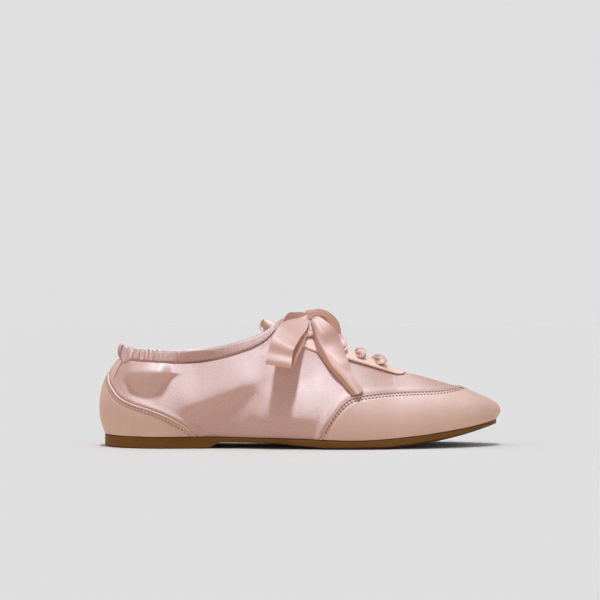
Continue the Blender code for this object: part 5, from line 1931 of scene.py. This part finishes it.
def ring_tree():
    """A rolled metal ring at every point, lying on the surface."""
    tree, given, out = geometry_tree("eyelet rings", [
        ("Radius", "Float", 2.1 * MM), ("Roll", "Float", 0.75 * MM),
        ("Flatten", "Float", 0.62), ("Metal", "Material", None)])
    value = given.outputs
    circles = [
        add_node(tree, "GeometryNodeCurvePrimitiveCircle", {"Resolution": fine, "Radius": radius})
        for fine, radius in ((40, value["Radius"]), (12, value["Roll"]))
    ]
    hoop, section = (circle.outputs[0] for circle in circles)
    rolled = add_node(tree, "GeometryNodeCurveToMesh", {"Curve": hoop, "Profile Curve": section})
    size = size_of(tree, 1.0, 1.0, value["Flatten"])
    up = stored(tree, "upward")
    place_all(tree, out, value["Geometry"], rolled.outputs[0], up, size, value["Metal"])
    return tree


STITCH_TREE, RING_TREE = stitch_tree(), ring_tree()
print("trees:", STITCH_TREE.name, RING_TREE.name)

# %% [markdown]
# ## From a tree to a plain mesh
# A part must not depend on live modifiers. Each tree runs once on its points or
# lines, its result is kept as a plain mesh, and the carrier is removed.

# %% Run a tree
def grown(name, tree, values, points_mm, vectors, edges=()):
    """The plain mesh that a tree makes of points or lines with directions stored on them."""
    mesh = bpy.data.meshes.new(name + " path")
    mesh.from_pydata((np.asarray(points_mm) * MM).tolist(), [tuple(edge) for edge in edges], [])
    for key, rows in vectors.items():
        flat = np.asarray(rows, np.float32).ravel()
        mesh.attributes.new(key, "FLOAT_VECTOR", "POINT").data.foreach_set("vector", flat)
    holder = placed(name + " path", mesh)
    modifier = holder.modifiers.new(tree.name, "NODES")
    modifier.node_group = tree
    items = [item for item in tree.interface.items_tree if item.in_out == "INPUT"]
    sockets = {item.name: item.identifier for item in items}
    for key, value in values.items():
        modifier[sockets[key]] = value
    graph = bpy.context.evaluated_depsgraph_get()
    made_mesh = bpy.data.meshes.new_from_object(holder.evaluated_get(graph), depsgraph=graph)
    made_mesh.name = name
    bpy.data.objects.remove(holder)
    print(f"{name}: {len(made_mesh.polygons)} faces")
    return placed(name, made_mesh)


def chained(lines):
    """Lines of points as one mesh's points and edges."""
    edges, start = [], 0
    for line in lines:
        edges += [(start + i, start + i + 1) for i in range(len(line) - 1)]
        start += len(line)
    return np.concatenate(lines), edges


def stitched(name, slot, lines, thread=THREAD_AND_SEAM_SHADE, **sizes):
    """A piece of equal capsules along lines of (points, outward directions)."""
    points, edges = chained([line[0] for line in lines])
    outs = np.concatenate([line[1] for line in lines])
    values = {"Thread": thread} | {key: value * MM for key, value in sizes.items()}
    piece = grown(name, STITCH_TREE, values, points, {"outward": outs}, edges)
    return seat(piece, slot)


print("helpers ready: grown and stitched")

# %% [markdown]
# ## Stitch rows
# Two rows run along the edge of each overlay, in the channels that its relief has for
# them and at the pitch of its puckers. One row closes the collar's seam.

# %% Stitch rows
STITCH_OFF = GAP + OVERLAY - 0.14  # over the last, down in the channel
ROW_START = 0.3  # mm up its column where a row begins


def row_on_wall(edge, below, low_s, high_s, count=260):
    """A stitch line at a set distance below an overlay's edge, on both sides of the shoe."""
    stations = np.linspace(low_s, high_s, count)
    halves = []
    for side in (LATERAL, MEDIAL):
        samples, _, long = columns_of(side, stations)
        edge_at = [np.interp(v, samples, row) for v, row in zip(edge(side, stations), long)]
        at = np.array(edge_at) - below
        kept = at > ROW_START
        v = np.array([np.interp(length, row, samples) for length, row in zip(at, long)])[kept]
        normals = wall_normal(side, stations[kept], v)
        halves.append((wall(side, stations[kept], v, STITCH_OFF), normals))
    return halves


def both_rows(edge, low_s, high_s):
    return [half for below in ROWS_AT for half in row_on_wall(edge, below, low_s, high_s)]


stitched(
    "toe_cap_stitches", "leather", both_rows(cap_edge, CAP_START, station_of_top(CAP_RIDGE_X)),
    Pitch=STITCH_PITCH, Length=1.45, Width=0.8, Height=0.5,
)
stitched(
    "heel_counter_stitches", "leather", both_rows(counter_edge, 0.0, COUNTER_END),
    thread=PALE_THREAD, Pitch=STITCH_PITCH, Length=1.35, Width=0.7, Height=0.45,
)
stitched(
    "collar_stitches", "satin", COLLAR_SEAM,
    Pitch=1.9, Length=1.3, Width=0.55, Height=0.4,
)

# %% [markdown]
# ## Tread pads
# The sunk field of the underside carries round rubber pads in lanes, one beside the
# next, for grip. They are moulded with the sole; here the stitch tree sets them, as
# capsules as wide as they are long.

# %% Tread pads
PAD_PITCH, PAD_SUNK = 4.2, 0.08  # distance between pads, and how deep their middles lie
PAD_WIDE, PAD_TALL = 2.8, 1.1
HEEL_STEP, STEP_CLEAR = -54.0, 5.0  # x of the step behind the arch, and the bare part at it
LANES = 8  # on each side of the middle one


def tread_lanes():
    """Lines along the sunk field of the underside, one lane beside the next."""
    stations = np.linspace(0.02, 0.98, 400)
    x, middle = COLUMN["x"](stations), COLUMN["mid"](stations)
    room = COLUMN["half"](stations) + SOLE_LIP - tread_inset(x) - BORDER - PAD_PITCH / 2
    room[np.abs(x - HEEL_STEP) < STEP_CLEAR] = -1.0
    height = tread_height(x) + SUNK - PAD_SUNK
    lanes = []
    for n in range(-LANES, LANES + 1):
        inside = np.flatnonzero(abs(n * PAD_PITCH) < room)
        for run in np.split(inside, np.flatnonzero(np.diff(inside) > 1) + 1):
            if len(run) > 12:
                line = np.stack([x[run], middle[run] + n * PAD_PITCH, height[run]], axis=1)
                lanes.append((line, np.tile([0.0, 0.0, -1.0], (len(run), 1))))
    return lanes


# The pads take the near-black rubber, partly their own and partly painted shade.
stitched(
    "tread_pads", "gum_rubber", tread_lanes(), thread=TREAD_RUBBER_AND_SHADE,
    Pitch=PAD_PITCH, Length=PAD_WIDE, Width=PAD_WIDE, Height=PAD_TALL,
)

# %% [markdown]
# ## Eyelets
# Five small metal eyelets stand on each side. Only their rolled rims show on top of
# the eyestay; the ribbon comes out through them.

# %% Eyelets
RING_OFF = 2 * GAP + OVERLAY + 0.25  # over the last, on top of the eyestay

places = [eyelet_frame(side, x) for side in (LATERAL, MEDIAL) for x in EYELET_X]
eyelets = grown(
    "eyelet_rings", RING_TREE, {"Radius": 2.1 * MM, "Roll": 0.6 * MM, "Metal": BRASS},
    [p + n * RING_OFF for p, n, _ in places],
    {"outward": [n for _, n, _ in places], "upward": [u for _, _, u in places]},
)
words = [f"eyelet_{word}_{n}" for word in ("lateral", "medial") for n in range(1, 6)]
seat(eyelets, "eyelet_metal", *words)

# %% [markdown]
# ## The knot
# The ribbon's two halves cross and wrap once round each other. Seen from outside, the
# wrap is a small pleated roll that the loops and tails spring from. It shows the
# ribbon's matt back, lies across the shoe and tilts a little forwards.

# %% Make the knot
KNOT_WIDE, KNOT_ROUND = 5.6, 2.7  # its length across the shoe, and its radius
KNOT_SWELL = 0.20  # how much thicker its middle is, and thinner its ends
KNOT_PINCH = 0.55  # how far its very ends close
KNOT_FLAT_X, KNOT_FLAT_Z = 0.9, 0.95  # its section isn't quite round
KNOT_TILT_X, KNOT_TILT_Z = 0.8, -0.4  # how far its inner end lies forwards and down
BIG_PLEAT, SMALL_PLEAT = 0.16, 0.10


def knot_ring(u, turns):
    """The ring at u, which runs from -1 at the outer end to 1 at the inner one."""
    waist = 1 - KNOT_SWELL + KNOT_SWELL * math.cos(u * math.pi)
    pleat = BIG_PLEAT * np.cos(7 * u + 1.2 * np.sin(turns)) + SMALL_PLEAT * np.cos(13 * u)
    radius = KNOT_ROUND * waist * (1 - KNOT_PINCH * abs(u) ** 6) + pleat
    return np.stack([
        KNOT_AT[0] + radius * np.cos(turns) * KNOT_FLAT_X + KNOT_TILT_X * u,
        KNOT_AT[1] + KNOT_WIDE / 2 * u + 0 * turns,
        KNOT_AT[2] + radius * np.sin(turns) * KNOT_FLAT_Z + KNOT_TILT_Z * u,
    ], axis=1)


def make_knot():
    turns = np.linspace(0, 2 * math.pi, 96, endpoint=False)
    rings = np.array([knot_ring(u, turns) for u in np.linspace(-1, 1, 33)])
    return tube("ribbon_knot", rings, [RIBBON_BACK], sharp=70)


seat(make_knot(), "ribbon", "bow_knot")
